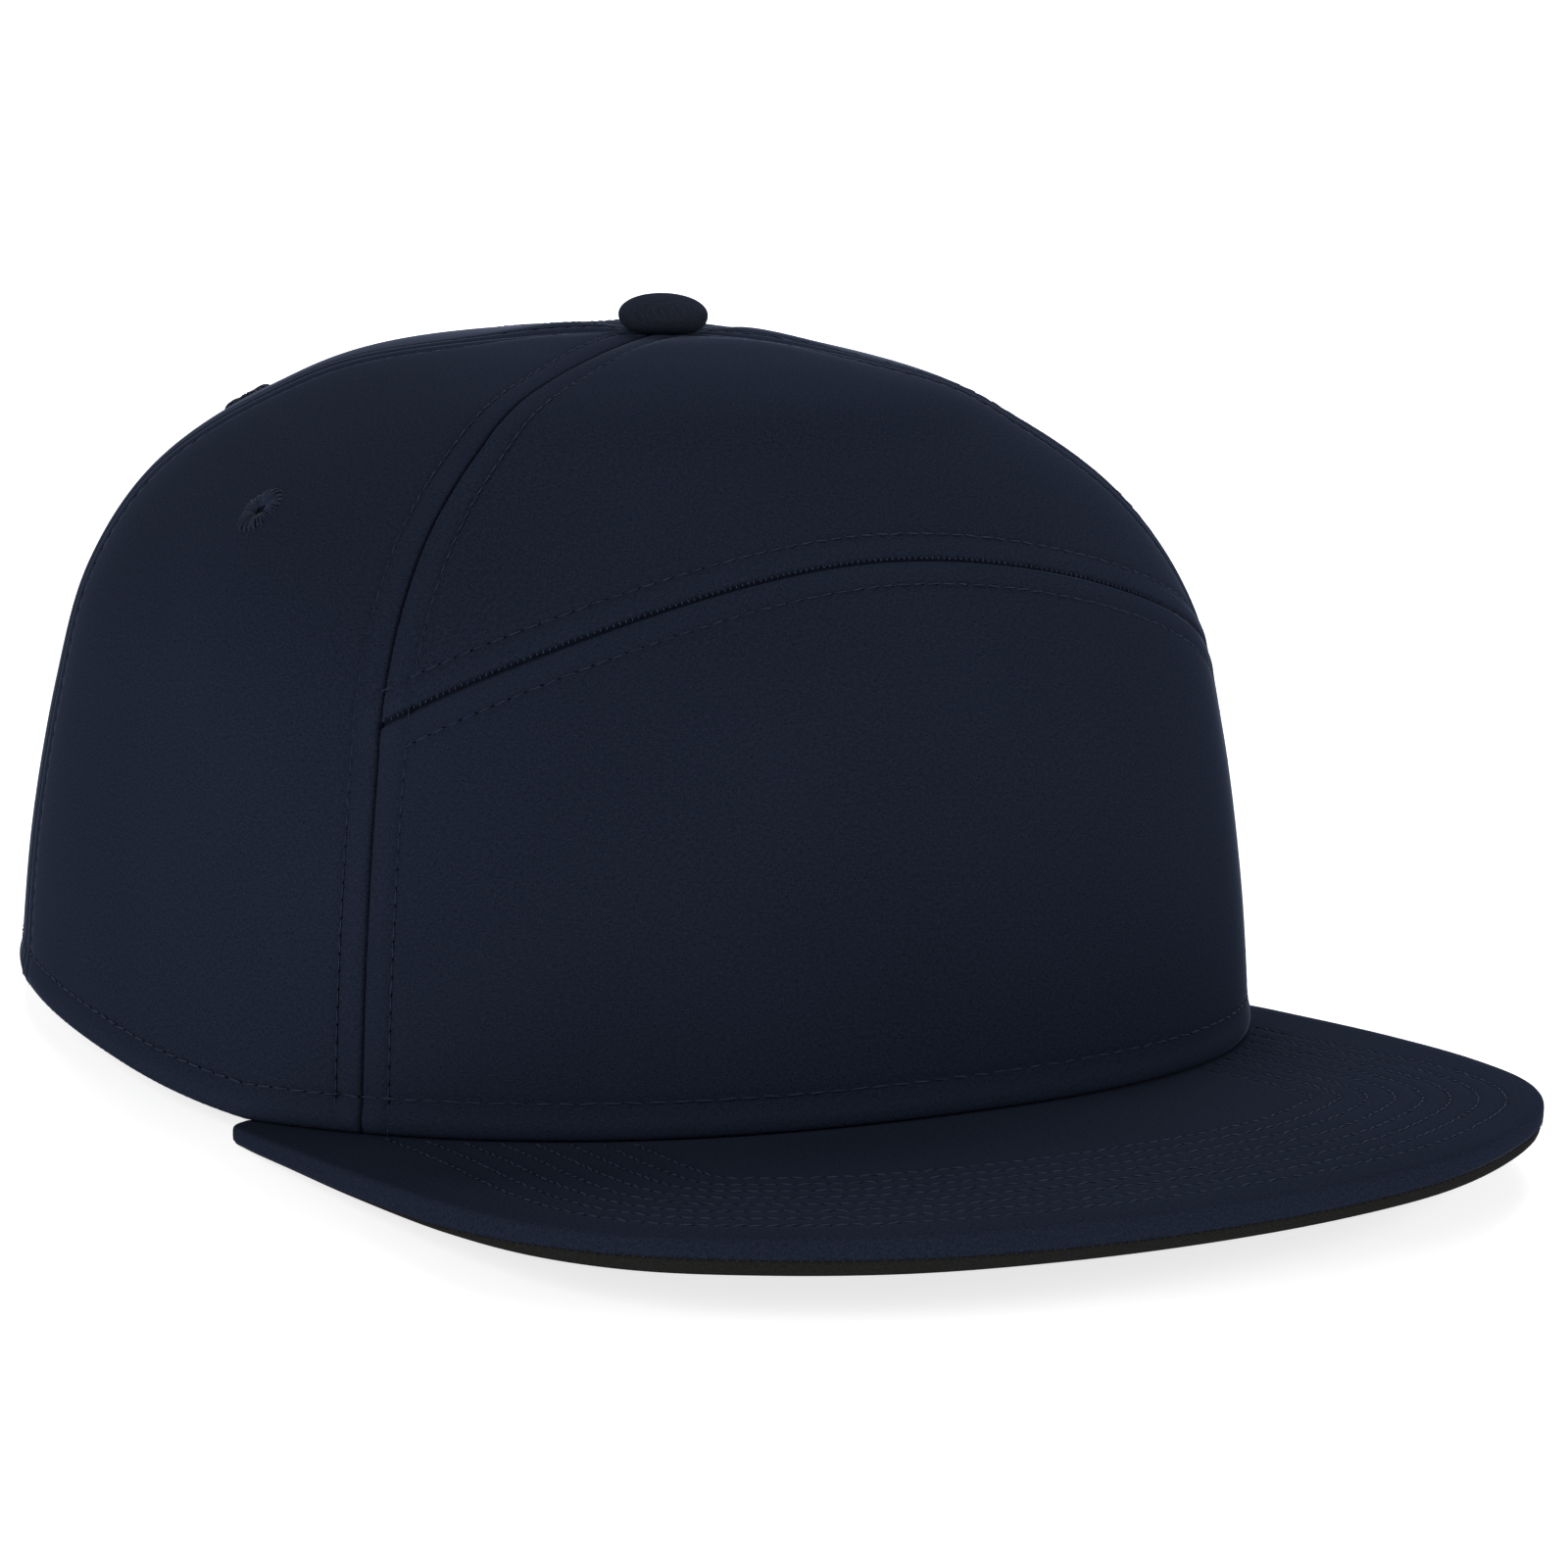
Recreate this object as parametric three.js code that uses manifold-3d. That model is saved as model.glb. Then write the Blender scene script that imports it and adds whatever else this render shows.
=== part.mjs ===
// A flat-billed snapback cap, in millimetres, as it rests on a table: +Z up, the bill towards -Y, +X on the
// wearer's left. The crown is five cloth panels and an insert over the brow, sewn edge to edge, with a
// button on top.
import * as THREE from "three";
import { mergeVertices } from "three/addons/utils/BufferGeometryUtils.js";
import Module from "manifold-3d";

const wasm = await Module();
wasm.setup();

// The crown's outside: how far the wall stands from the crown's axis in front, at the sides and behind, and
// how far the axis leans forward there, at shares of the height from the rim to the button.
const CROWN_HEIGHT = 105.3;
const CROWN_ROWS = [
  { up: 0.0, front: 92.2, side: 86.0, back: 108.4, lean: 0 },
  { up: 0.22, front: 89.2, side: 84.4, back: 106.0, lean: 0 },
  { up: 0.44, front: 85.2, side: 81.3, back: 100.2, lean: 0 },
  { up: 0.62, front: 78.6, side: 77.5, back: 91.5, lean: 0 },
  { up: 0.77, front: 66.2, side: 68.6, back: 79.5, lean: 0 },
  { up: 0.88, front: 52.7, side: 53.2, back: 64.1, lean: 0.35 },
  { up: 0.955, front: 39.0, side: 34.7, back: 44.5, lean: 1.6 },
  { up: 1.0, front: 0.0, side: 0.0, back: 0.0, lean: 3.5 },
];
const LAST_ROW = CROWN_ROWS.length - 1;
const CROWN_AXIS_Y = 9.8;
const SQUARENESS = { front: 2.36, back: 2.25 }; // 2 is an ellipse seen from above, more is squarer
const WALL = 2;
const SEAM_GAP = 0.3;

// Seams, as angles round the crown from straight ahead, in degrees, at the rim and at the button.
const FRONT_SEAM = { rim: 52.6, button: 56 };
const REAR_SEAM = { rim: 119, button: 126 };
const BACK_CENTRE = 180;
const BUTTON_ROW = LAST_ROW - 0.07; // the panels stop short of the axis, round the button's stem
const BROW_ROW = { middle: 3.88, ends: 2.58, fullness: 0.06 }; // the arched seam over the lower front panel
const HALF_GAP_IN_ROWS = 0.01;
const PANEL_STEPS = { front: 20, side: 14, back: 12, up: 20, brow: 10, insert: 12 };

// The rim rests on the bill in front, and drops from the bill's corners to the table behind.
const CORNER_ANGLE = 66;
const RIM_SIDE_ANGLE = 112;
const RIM_SIDE_HEIGHT = 4.5;
const RIM_BACK_ANGLE = 165;
const RIM_BACK_HEIGHT = 0.4;

// The bill: half of its edge seen from above, from the corner beside the crown to the middle of the front.
const BILL_EDGE = [
  { out: 80.6, forward: 24.4 },
  { out: 83.2, forward: 26.6 },
  { out: 84.0, forward: 32.0 },
  { out: 84.3, forward: 46.0 },
  { out: 84.4, forward: 68.0 },
  { out: 82.9, forward: 90.2 },
  { out: 78.9, forward: 106.6 },
  { out: 70.8, forward: 119.4 },
  { out: 58.0, forward: 129.2 },
  { out: 41.5, forward: 137.2 },
  { out: 21.5, forward: 141.6 },
  { out: 0.0, forward: 143.0 },
];
const BILL_SIDE_STEPS = 26;
const BILL_THICKNESS = { corner: 2.9, front: 6.2, underShare: 0.34 };
const BILL_RISE = { slope: 0.113, easing: 0.00022 }; // the bill climbs forward from its corners, ever less
const BILL_TUCK = 0.4; // how far the bill runs in past the inside of the crown's wall

const EYELET = { radius: 3.8, hole: 1.1, stand: 0.5, drill: 12, sides: 16 };
const EYELET_PLACES = [
  { panel: "side", angle: 82.7, row: 4.11 },
  { panel: "back", angle: 139, row: 4.77 },
];

const BUTTON = { radius: 6.6, height: 5.6, stem: 2.4, stemDepth: 4.5, sides: 28 };

// The opening over the closure, cut from behind the axis out through the back, and the strip across it.
const ARCH = { halfWidth: 44, straight: 20, height: 58, below: 10, behindAxis: 40, depth: 80, steps: 20 };
const STRAP = { halfAngle: 33, height: 19, thickness: 1.6, overlapAngle: 14, steps: 24, upSteps: 4 };

const navyCloth = new THREE.MeshStandardMaterial({ color: 0x1c2233, roughness: 0.85, metalness: 0 });
const charcoalCloth = new THREE.MeshStandardMaterial({ color: 0x25282b, roughness: 0.9, metalness: 0 });
const navyThread = new THREE.MeshStandardMaterial({ color: 0x161b29, roughness: 0.8, metalness: 0 });
const navyPlastic = new THREE.MeshStandardMaterial({ color: 0x151a27, roughness: 0.45, metalness: 0 });

const radians = THREE.MathUtils.degToRad;
const mix = THREE.MathUtils.lerp;
const ease = (from, to, x) => THREE.MathUtils.smoothstep(x, from, to);

// One column of the crown's table at any place between its rows, on a smooth curve through them. Past the
// top row the curve goes on down the other side, so that the crown is flat on its axis.
function crownColumn(column, row) {
  const overTop = column === "up" || column === "lean" ? 1 : -1;
  const at = (i) => {
    if (i < 0) return 2 * CROWN_ROWS[0][column] - CROWN_ROWS[1][column];
    if (i > LAST_ROW) return overTop * CROWN_ROWS[2 * LAST_ROW - i][column];
    return CROWN_ROWS[i][column];
  };
  const i = Math.min(Math.floor(row), LAST_ROW - 1);
  const t = row - i;
  const [a, b, c, d] = [at(i - 1), at(i), at(i + 1), at(i + 2)];
  const bend = 2 * a - 5 * b + 4 * c - d;
  const twist = 3 * b - a - 3 * c + d;
  return 0.5 * (2 * b + (c - a) * t + bend * t ** 2 + twist * t ** 3);
}

// How far the crown's outside stands from its axis at an angle in degrees and a row.
function crownReach(angle, row) {
  const ahead = Math.cos(radians(angle));
  const aside = Math.sin(radians(angle));
  const length = crownColumn(ahead > 0 ? "front" : "back", row);
  const width = crownColumn("side", row);
  const n = mix(SQUARENESS.back, SQUARENESS.front, 0.5 + 0.5 * ahead);
  return (Math.abs(aside / width) ** n + Math.abs(ahead / length) ** n) ** (-1 / n);
}

function crownPlan(angle, row) {
  const reach = crownReach(angle, row);
  const axisY = CROWN_AXIS_Y - crownColumn("lean", row);
  return new THREE.Vector2(reach * Math.sin(radians(angle)), axisY - reach * Math.cos(radians(angle)));
}

const beyondCorner = (y) => Math.max(-y - BILL_EDGE[0].forward, 0);

function billThickness(y) {
  const { corner, front } = BILL_THICKNESS;
  return mix(corner, front, beyondCorner(y) / (BILL_EDGE.at(-1).forward - BILL_EDGE[0].forward));
}

function billTop(y) {
  const beyond = beyondCorner(y);
  return BILL_THICKNESS.corner + BILL_RISE.slope * beyond - BILL_RISE.easing * beyond ** 2;
}

function rimHeight(angle) {
  const turn = Math.abs(angle) > 180 ? 360 - Math.abs(angle) : Math.abs(angle);
  const foot = crownPlan(Math.min(turn, CORNER_ANGLE), 0);
  const onBill = billTop(foot.y) + SEAM_GAP;
  const side = mix(onBill, RIM_SIDE_HEIGHT, ease(CORNER_ANGLE, RIM_SIDE_ANGLE, turn));
  return mix(side, RIM_BACK_HEIGHT, ease(RIM_SIDE_ANGLE, RIM_BACK_ANGLE, turn));
}

function crownPoint(angle, row) {
  const plan = crownPlan(angle, row);
  const up = crownColumn("up", row);
  return new THREE.Vector3(plan.x, plan.y, mix(rimHeight(angle), CROWN_HEIGHT, up));
}

// The way out of the cloth at a place on the crown.
function crownNormal(angle, row) {
  const step = 0.02;
  const round = crownPoint(angle + step, row).sub(crownPoint(angle - step, row));
  const rise = crownPoint(angle, row + step).sub(crownPoint(angle, row - step));
  return round.cross(rise).normalize();
}

function inCloth(angle, row, depth) {
  return crownPoint(angle, row).addScaledVector(crownNormal(angle, row), -depth);
}

// A wall between an outer and an inner face. place(across, up, inside) gives each corner of the grid, with
// across running anticlockwise seen from above, and inside 0 or 1.
function wallGeometry(acrossSteps, upSteps, place) {
  const positions = [];
  const indices = [];
  const index = (i, j, inside) => (inside * (upSteps + 1) + j) * (acrossSteps + 1) + i;
  for (const inside of [0, 1])
    for (let j = 0; j <= upSteps; j++)
      for (let i = 0; i <= acrossSteps; i++)
        positions.push(...place(i / acrossSteps, j / upSteps, inside).toArray());
  const quad = (a, b, c, d) => indices.push(a, b, c, a, c, d);
  for (let j = 0; j < upSteps; j++)
    for (let i = 0; i < acrossSteps; i++) {
      quad(index(i, j, 0), index(i + 1, j, 0), index(i + 1, j + 1, 0), index(i, j + 1, 0));
      quad(index(i, j + 1, 1), index(i + 1, j + 1, 1), index(i + 1, j, 1), index(i, j, 1));
    }
  for (let i = 0; i < acrossSteps; i++) {
    quad(index(i, 0, 1), index(i + 1, 0, 1), index(i + 1, 0, 0), index(i, 0, 0));
    quad(index(i, upSteps, 0), index(i + 1, upSteps, 0), index(i + 1, upSteps, 1), index(i, upSteps, 1));
  }
  const last = acrossSteps;
  for (let j = 0; j < upSteps; j++) {
    quad(index(0, j, 0), index(0, j + 1, 0), index(0, j + 1, 1), index(0, j, 1));
    quad(index(last, j, 1), index(last, j + 1, 1), index(last, j + 1, 0), index(last, j, 0));
  }
  const geometry = new THREE.BufferGeometry();
  geometry.setAttribute("position", new THREE.Float32BufferAttribute(positions, 3));
  return geometry.setIndex(indices);
}

const WELD_DISTANCE = 1e-4;
function solidOf(geometry) {
  const bare = geometry.clone();
  bare.deleteAttribute("normal");
  bare.deleteAttribute("uv");
  const merged = mergeVertices(bare, WELD_DISTANCE);
  const vertProperties = merged.attributes.position.array;
  const triVerts = new Uint32Array(merged.index.array);
  return new wasm.Manifold(new wasm.Mesh({ numProp: 3, vertProperties, triVerts }));
}

function geometryOf(solid) {
  const mesh = solid.getMesh();
  const geometry = new THREE.BufferGeometry();
  geometry.setAttribute("position", new THREE.Float32BufferAttribute(mesh.vertProperties, 3));
  geometry.setIndex(Array.from(mesh.triVerts));
  const faceted = geometry.toNonIndexed();
  faceted.computeVertexNormals();
  return faceted;
}

const cap = new THREE.Group();

function addPiece(name, geometry, material) {
  const mesh = new THREE.Mesh(geometry, material);
  mesh.name = name;
  cap.add(mesh);
}

// An angle at a seam's edge: half of the seam's gap away from the seam, towards the panel.
function besideSeam(angle, row, towards) {
  return angle + towards * THREE.MathUtils.radToDeg(SEAM_GAP / 2 / crownReach(angle, row));
}

const seamAngle = (seam, row) => mix(seam.rim, seam.button, row / LAST_ROW);

// The row of the arched seam, at a share of the way from the middle of the brow to either side, 1 or -1.
function browRow(share) {
  const drop = 1 - share ** 2;
  return BROW_ROW.ends + (BROW_ROW.middle - BROW_ROW.ends) * drop * (1 - BROW_ROW.fullness * share ** 2);
}

// Front: the lower panel up to the arched seam, and the insert from there to the button.
function addFront(name, rowsAt, upSteps) {
  const place = (across, up, inside) => {
    const share = 2 * across - 1;
    const { low, high } = rowsAt(share);
    const row = mix(low, high, up);
    const edge = besideSeam(seamAngle(FRONT_SEAM, row), row, -1);
    return inCloth(share * edge, row, inside * WALL);
  };
  addPiece(name, wallGeometry(PANEL_STEPS.front, upSteps, place), navyCloth);
}

const belowBrow = (share) => ({ low: 0, high: browRow(share) - HALF_GAP_IN_ROWS });
const aboveBrow = (share) => ({ low: browRow(share) + HALF_GAP_IN_ROWS, high: BUTTON_ROW });
addFront("front_panel", belowBrow, PANEL_STEPS.brow);
addFront("upper_front_panel", aboveBrow, PANEL_STEPS.insert);

// The eyelets' places, and a cylinder or ring set square to the cloth there.
function setInCloth(geometry, angle, row) {
  const out = crownNormal(angle, row);
  const turn = new THREE.Quaternion().setFromUnitVectors(new THREE.Vector3(0, 1, 0), out);
  const middle = inCloth(angle, row, WALL / 2);
  return geometry.applyQuaternion(turn).translate(middle.x, middle.y, middle.z);
}

function eyeletGeometry() {
  const half = WALL / 2 + EYELET.stand;
  const round = EYELET.stand;
  const profile = [
    new THREE.Vector2(EYELET.hole, -half + round),
    new THREE.Vector2(EYELET.hole + round, -half),
    new THREE.Vector2(EYELET.radius - round, -half),
    new THREE.Vector2(EYELET.radius, -half + round),
    new THREE.Vector2(EYELET.radius, half - round),
    new THREE.Vector2(EYELET.radius - round, half),
    new THREE.Vector2(EYELET.hole + round, half),
    new THREE.Vector2(EYELET.hole, half - round),
    new THREE.Vector2(EYELET.hole, -half + round),
  ];
  return new THREE.LatheGeometry(profile, EYELET.sides);
}

// Side and back panels, one of each on each side, with a hole for the eyelet.
const archShape = new THREE.Shape();
archShape.moveTo(-ARCH.halfWidth, -ARCH.below);
archShape.lineTo(-ARCH.halfWidth, ARCH.straight);
archShape.absellipse(0, ARCH.straight, ARCH.halfWidth, ARCH.height - ARCH.straight, Math.PI, 0, true);
archShape.lineTo(ARCH.halfWidth, -ARCH.below);
const archPrism = new THREE.ExtrudeGeometry(archShape, {
  depth: ARCH.depth,
  curveSegments: ARCH.steps,
  bevelEnabled: false,
});
archPrism.rotateX(Math.PI / 2).translate(0, CROWN_AXIS_Y + ARCH.behindAxis + ARCH.depth, 0);

const PANELS = {
  side: { from: FRONT_SEAM, to: REAR_SEAM },
  back: { from: REAR_SEAM, to: { rim: BACK_CENTRE, button: BACK_CENTRE } },
};

for (const { panel, angle, row } of EYELET_PLACES)
  for (const [hand, sign] of [["right", -1], ["left", 1]]) {
    const { from, to } = PANELS[panel];
    const place = (across, up, inside) => {
      const share = sign > 0 ? across : 1 - across;
      const at = BUTTON_ROW * up;
      const near = besideSeam(seamAngle(from, at), at, 1);
      const far = besideSeam(seamAngle(to, at), at, -1);
      return inCloth(sign * mix(near, far, share), at, inside * WALL);
    };
    const bore = EYELET.radius + SEAM_GAP;
    const drill = new THREE.CylinderGeometry(bore, bore, EYELET.drill, EYELET.sides);
    let solid = solidOf(wallGeometry(PANEL_STEPS[panel], PANEL_STEPS.up, place));
    solid = solid.subtract(solidOf(setInCloth(drill, sign * angle, row)));
    if (panel === "back") solid = solid.subtract(solidOf(archPrism));
    addPiece(`${panel}_panel_${hand}`, geometryOf(solid), navyCloth);
    addPiece(`eyelet_${panel}_${hand}`, setInCloth(eyeletGeometry(), sign * angle, row), navyThread);
  }

// The button: a covered dome over the panels' tips, with its stem through them. The dome's points are shares
// of its radius and its height.
const BUTTON_DOME = [
  { out: 0.86, up: 0.05 },
  { out: 1.0, up: 0.2 },
  { out: 1.0, up: 0.4 },
  { out: 0.93, up: 0.64 },
  { out: 0.76, up: 0.84 },
  { out: 0.45, up: 0.96 },
];
const buttonProfile = [
  new THREE.Vector2(0, -BUTTON.stemDepth),
  new THREE.Vector2(BUTTON.stem, -BUTTON.stemDepth),
  new THREE.Vector2(BUTTON.stem, SEAM_GAP),
  ...BUTTON_DOME.map(({ out, up }) => new THREE.Vector2(BUTTON.radius * out, BUTTON.height * up)),
  new THREE.Vector2(0, BUTTON.height),
];
const button = new THREE.LatheGeometry(buttonProfile, BUTTON.sides).rotateX(Math.PI / 2);
addPiece("button", button.translate(0, CROWN_AXIS_Y - CROWN_ROWS.at(-1).lean, CROWN_HEIGHT), navyCloth);

// The bill: an upper and a lower cover that meet along the edge. Both run in under the crown's wall.
const otherSide = BILL_EDGE.slice(0, -1).reverse().map(({ out, forward }) => ({ out: -out, forward }));
const billCurve = new THREE.CatmullRomCurve3(
  [...BILL_EDGE, ...otherSide].map(({ out, forward }) => new THREE.Vector3(-out, -forward, 0)),
  false,
  "centripetal",
);
const billSteps = 2 * BILL_SIDE_STEPS;

function billInner(share) {
  const inside = inCloth(mix(-CORNER_ANGLE, CORNER_ANGLE, share), 0, WALL + BILL_TUCK);
  return inside.setZ(0);
}

// Each section runs from its lower face round the edge: how far in from the edge in millimetres, and how far
// down through the cover, as a share of the cover's thickness.
const TOP_SECTION = [
  { in: 0.25, down: 1 },
  { in: 0, down: 0.85 },
  { in: 0, down: 0.36 },
  { in: 0.3, down: 0.22 },
  { in: 0.9, down: 0.13 },
  { in: 3, down: 0 },
];
const UNDER_SECTION = [
  { in: 1.6, down: 1 },
  { in: 0.7, down: 0.7 },
  { in: 0.3, down: 0 },
];

// A cover of the bill, between two shares of the bill's thickness, less the gap between the covers.
function billGeometry(section, { from, to, gap }) {
  const corners = [...section, { down: 0 }, { down: 1 }];
  const count = corners.length;
  const positions = [];
  const indices = [];
  for (let i = 0; i <= billSteps; i++) {
    const root = billInner(i / billSteps);
    const edge = billCurve.getPoint(i / billSteps);
    const inward = root.clone().sub(edge).normalize();
    corners.forEach(({ in: inset, down }) => {
      const place = inset === undefined ? root : edge.clone().addScaledVector(inward, inset);
      const thickness = billThickness(place.y);
      const below = mix(from * thickness + gap, to * thickness, down);
      positions.push(place.x, place.y, billTop(place.y) - below);
    });
  }
  for (let i = 0; i < billSteps; i++)
    for (let j = 0; j < count; j++) {
      const [a, b] = [i * count + j, i * count + ((j + 1) % count)];
      indices.push(a, a + count, b + count, a, b + count, b);
    }
  for (let j = 1; j < count - 1; j++) {
    const last = billSteps * count;
    indices.push(0, j, j + 1);
    indices.push(last, last + j + 1, last + j);
  }
  const geometry = new THREE.BufferGeometry();
  geometry.setAttribute("position", new THREE.Float32BufferAttribute(positions, 3));
  return geometry.setIndex(indices);
}

const coverSplit = 1 - BILL_THICKNESS.underShare;
const upperCover = billGeometry(TOP_SECTION, { from: 0, to: coverSplit, gap: 0 });
const lowerCover = billGeometry(UNDER_SECTION, { from: coverSplit, to: 1, gap: SEAM_GAP });
addPiece("bill_top", upperCover, navyCloth);
addPiece("bill_underside", lowerCover, charcoalCloth);

// The closure: one moulded strip behind the rim, doubled in the middle where its two ends snap together.
const ROW_SEARCH_STEP = 0.01;
function rowAtHeight(height) {
  let row = 0;
  while (CROWN_HEIGHT * crownColumn("up", row) < height) row += ROW_SEARCH_STEP;
  return row;
}

const strapPlace = (across, up, inside) => {
  const turn = mix(-STRAP.halfAngle, STRAP.halfAngle, across);
  const height = STRAP.height * up;
  const doubled = Math.abs(turn) < STRAP.overlapAngle ? STRAP.thickness : STRAP.thickness / 2;
  const point = inCloth(BACK_CENTRE + turn, rowAtHeight(height), WALL + SEAM_GAP + inside * doubled);
  return point.setZ(height);
};
addPiece("snap_strap", wallGeometry(STRAP.steps, STRAP.upSteps, strapPlace), navyPlastic);

// The middle of the cap, seen from above, stands over the origin.
const bounds = new THREE.Box3().setFromObject(cap);
cap.position.y = -(bounds.min.y + bounds.max.y) / 2;

export default cap;
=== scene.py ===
# A flat-billed snapback cap in navy cloth, dressed around its CAD frame, on a white studio floor.
import math

import bmesh
import bpy
import numpy as np
from mathutils import Matrix, Vector
from mathutils.bvhtree import BVHTree
from mathutils.kdtree import KDTree


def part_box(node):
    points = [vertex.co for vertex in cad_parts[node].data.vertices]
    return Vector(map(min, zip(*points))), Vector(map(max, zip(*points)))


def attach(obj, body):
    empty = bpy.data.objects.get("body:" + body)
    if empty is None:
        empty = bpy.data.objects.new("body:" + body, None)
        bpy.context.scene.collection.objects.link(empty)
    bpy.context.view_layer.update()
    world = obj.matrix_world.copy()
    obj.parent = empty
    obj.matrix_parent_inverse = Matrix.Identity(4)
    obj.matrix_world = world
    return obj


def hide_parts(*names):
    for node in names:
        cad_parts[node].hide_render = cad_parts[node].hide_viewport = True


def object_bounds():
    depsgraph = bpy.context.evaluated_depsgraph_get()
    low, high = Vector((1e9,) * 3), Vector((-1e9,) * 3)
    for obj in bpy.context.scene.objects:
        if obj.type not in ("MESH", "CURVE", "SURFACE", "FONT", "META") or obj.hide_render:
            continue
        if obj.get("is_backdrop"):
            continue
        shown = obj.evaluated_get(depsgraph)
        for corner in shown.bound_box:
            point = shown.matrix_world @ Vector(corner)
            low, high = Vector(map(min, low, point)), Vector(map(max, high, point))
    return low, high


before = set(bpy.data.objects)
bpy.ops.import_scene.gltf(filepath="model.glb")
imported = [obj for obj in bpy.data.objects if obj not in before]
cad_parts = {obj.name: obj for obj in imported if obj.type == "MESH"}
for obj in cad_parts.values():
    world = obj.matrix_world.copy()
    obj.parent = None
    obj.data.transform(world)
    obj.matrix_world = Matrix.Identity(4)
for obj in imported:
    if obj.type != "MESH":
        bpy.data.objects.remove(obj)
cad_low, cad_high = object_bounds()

# The lower front panel. It is cotton twill over stiff buckram, one piece under the arched seam, folded in
# along every edge. The crown's form is worked out here first, because all the panels are cut to it.
MM = 0.001
CROWN_HEIGHT = 105.3
AXIS_Y = 9.8
TOP_LEAN = 3.5
CROWN_COLUMNS = {  # shares of the height, and reaches and lean in millimetres, from the rim to the button
    "up": (0.0, 0.22, 0.44, 0.62, 0.77, 0.88, 0.955, 1.0),
    "front": (92.2, 89.2, 85.2, 78.6, 66.2, 52.7, 39.0, 0.0),
    "side": (86.0, 84.4, 81.3, 77.5, 68.6, 53.2, 34.7, 0.0),
    "back": (108.4, 106.0, 100.2, 91.5, 79.5, 64.1, 44.5, 0.0),
    "lean": (0.0, 0.0, 0.0, 0.0, 0.0, 0.35, 1.6, TOP_LEAN),
}
LAST_ROW = len(CROWN_COLUMNS["up"]) - 1
BUTTON_ROW = LAST_ROW - 0.07  # the panels end just short of the middle, under the button
SQUARENESS_FRONT, SQUARENESS_BACK = 2.36, 2.25
FRONT_SEAM = (52.6, 56.0)  # degrees from straight ahead, at the rim and at the button
REAR_SEAM = (119.0, 126.0)
BROW_MIDDLE, BROW_ENDS, BROW_FULLNESS = 3.88, 2.58, 0.06
BILL_CORNER_FORWARD, BILL_FRONT_FORWARD = 24.4, 143.0
BILL_CORNER_THICKNESS, BILL_FRONT_THICKNESS = 2.9, 6.2
BILL_SLOPE, BILL_EASING = 0.113, 0.00022
CORNER_ANGLE, RIM_SIDE_ANGLE, RIM_BACK_ANGLE = 66.0, 112.0, 165.0  # the rim leaves the bill at the first
RIM_SIDE_HEIGHT, RIM_BACK_HEIGHT = 4.5, 0.4  # and is this high at the other two
RIM_GAP = 0.3  # from the bill up to the rim's outer edge
RIM_PRESS = 0.05  # how far the wall's inner edge is sewn down into the bill
WALL = 2.0
button_low, button_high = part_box("button")
# The frame's origin is under the middle of the whole cap.
SHIFT_Y = (button_low.y + button_high.y) / 2 / MM - (AXIS_Y - TOP_LEAN)
BUTTON_Y = AXIS_Y - TOP_LEAN + SHIFT_Y


def column(name, row):
    """One column of the crown's table at any row, on a smooth curve that goes on over the top."""
    values = CROWN_COLUMNS[name]
    over = 1 if name in ("up", "lean") else -1
    padded = np.array([2 * values[0] - values[1], *values, over * values[-2]])
    row = np.asarray(row, float)
    i = np.clip(np.floor(row).astype(int), 0, LAST_ROW - 1)
    t = row - i
    a, b, c, d = padded[i], padded[i + 1], padded[i + 2], padded[i + 3]
    return 0.5 * (2 * b + (c - a) * t + (2 * a - 5 * b + 4 * c - d) * t**2 + (3 * b - a - 3 * c + d) * t**3)


def ease(low, high, x):
    t = np.clip((np.asarray(x, float) - low) / (high - low), 0, 1)
    return t * t * (3 - 2 * t)


def reach(angle, row):
    """How far the crown stands from its axis, at an angle in degrees from straight ahead."""
    ahead, aside = np.cos(np.radians(angle)), np.sin(np.radians(angle))
    length = np.where(ahead > 0, column("front", row), column("back", row))
    power = SQUARENESS_BACK + (SQUARENESS_FRONT - SQUARENESS_BACK) * (0.5 + 0.5 * ahead)
    return (np.abs(aside / column("side", row)) ** power + np.abs(ahead / length) ** power) ** (-1 / power)


def crown_plan(angle, row):
    """Where the crown stands seen from above, in the CAD's own millimetres before the frame's shift."""
    out = reach(angle, row)
    x = out * np.sin(np.radians(angle))
    return x, AXIS_Y - column("lean", row) - out * np.cos(np.radians(angle))


def beyond_corner(y):
    return np.maximum(-y - BILL_CORNER_FORWARD, 0)


def bill_top_height(y):
    return BILL_CORNER_THICKNESS + BILL_SLOPE * beyond_corner(y) - BILL_EASING * beyond_corner(y) ** 2


def rim_height(angle):
    turn = np.abs(angle)
    turn = np.where(turn > 180, 360 - turn, turn)
    on_bill = bill_top_height(crown_plan(np.minimum(turn, CORNER_ANGLE), 0.0)[1]) + RIM_GAP
    side = on_bill + (RIM_SIDE_HEIGHT - on_bill) * ease(CORNER_ANGLE, RIM_SIDE_ANGLE, turn)
    return side + (RIM_BACK_HEIGHT - side) * ease(RIM_SIDE_ANGLE, RIM_BACK_ANGLE, turn)


def crown_point(angle, row):
    angle, row = np.broadcast_arrays(np.asarray(angle, float), np.asarray(row, float))
    x, y = crown_plan(angle, row)
    up = column("up", row)
    return np.stack([x, y + SHIFT_Y, rim_height(angle) * (1 - up) + CROWN_HEIGHT * up], -1)


def unit(vectors):
    return vectors / np.maximum(np.linalg.norm(vectors, axis=-1, keepdims=True), 1e-9)


def crown_normal(angle, row):
    step = 0.02
    around = crown_point(angle + step, row) - crown_point(angle - step, row)
    rise = crown_point(angle, row + step) - crown_point(angle, row - step)
    return unit(np.cross(around, rise))


def seam_angle(seam, row):
    return seam[0] + (seam[1] - seam[0]) * row / LAST_ROW


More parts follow.
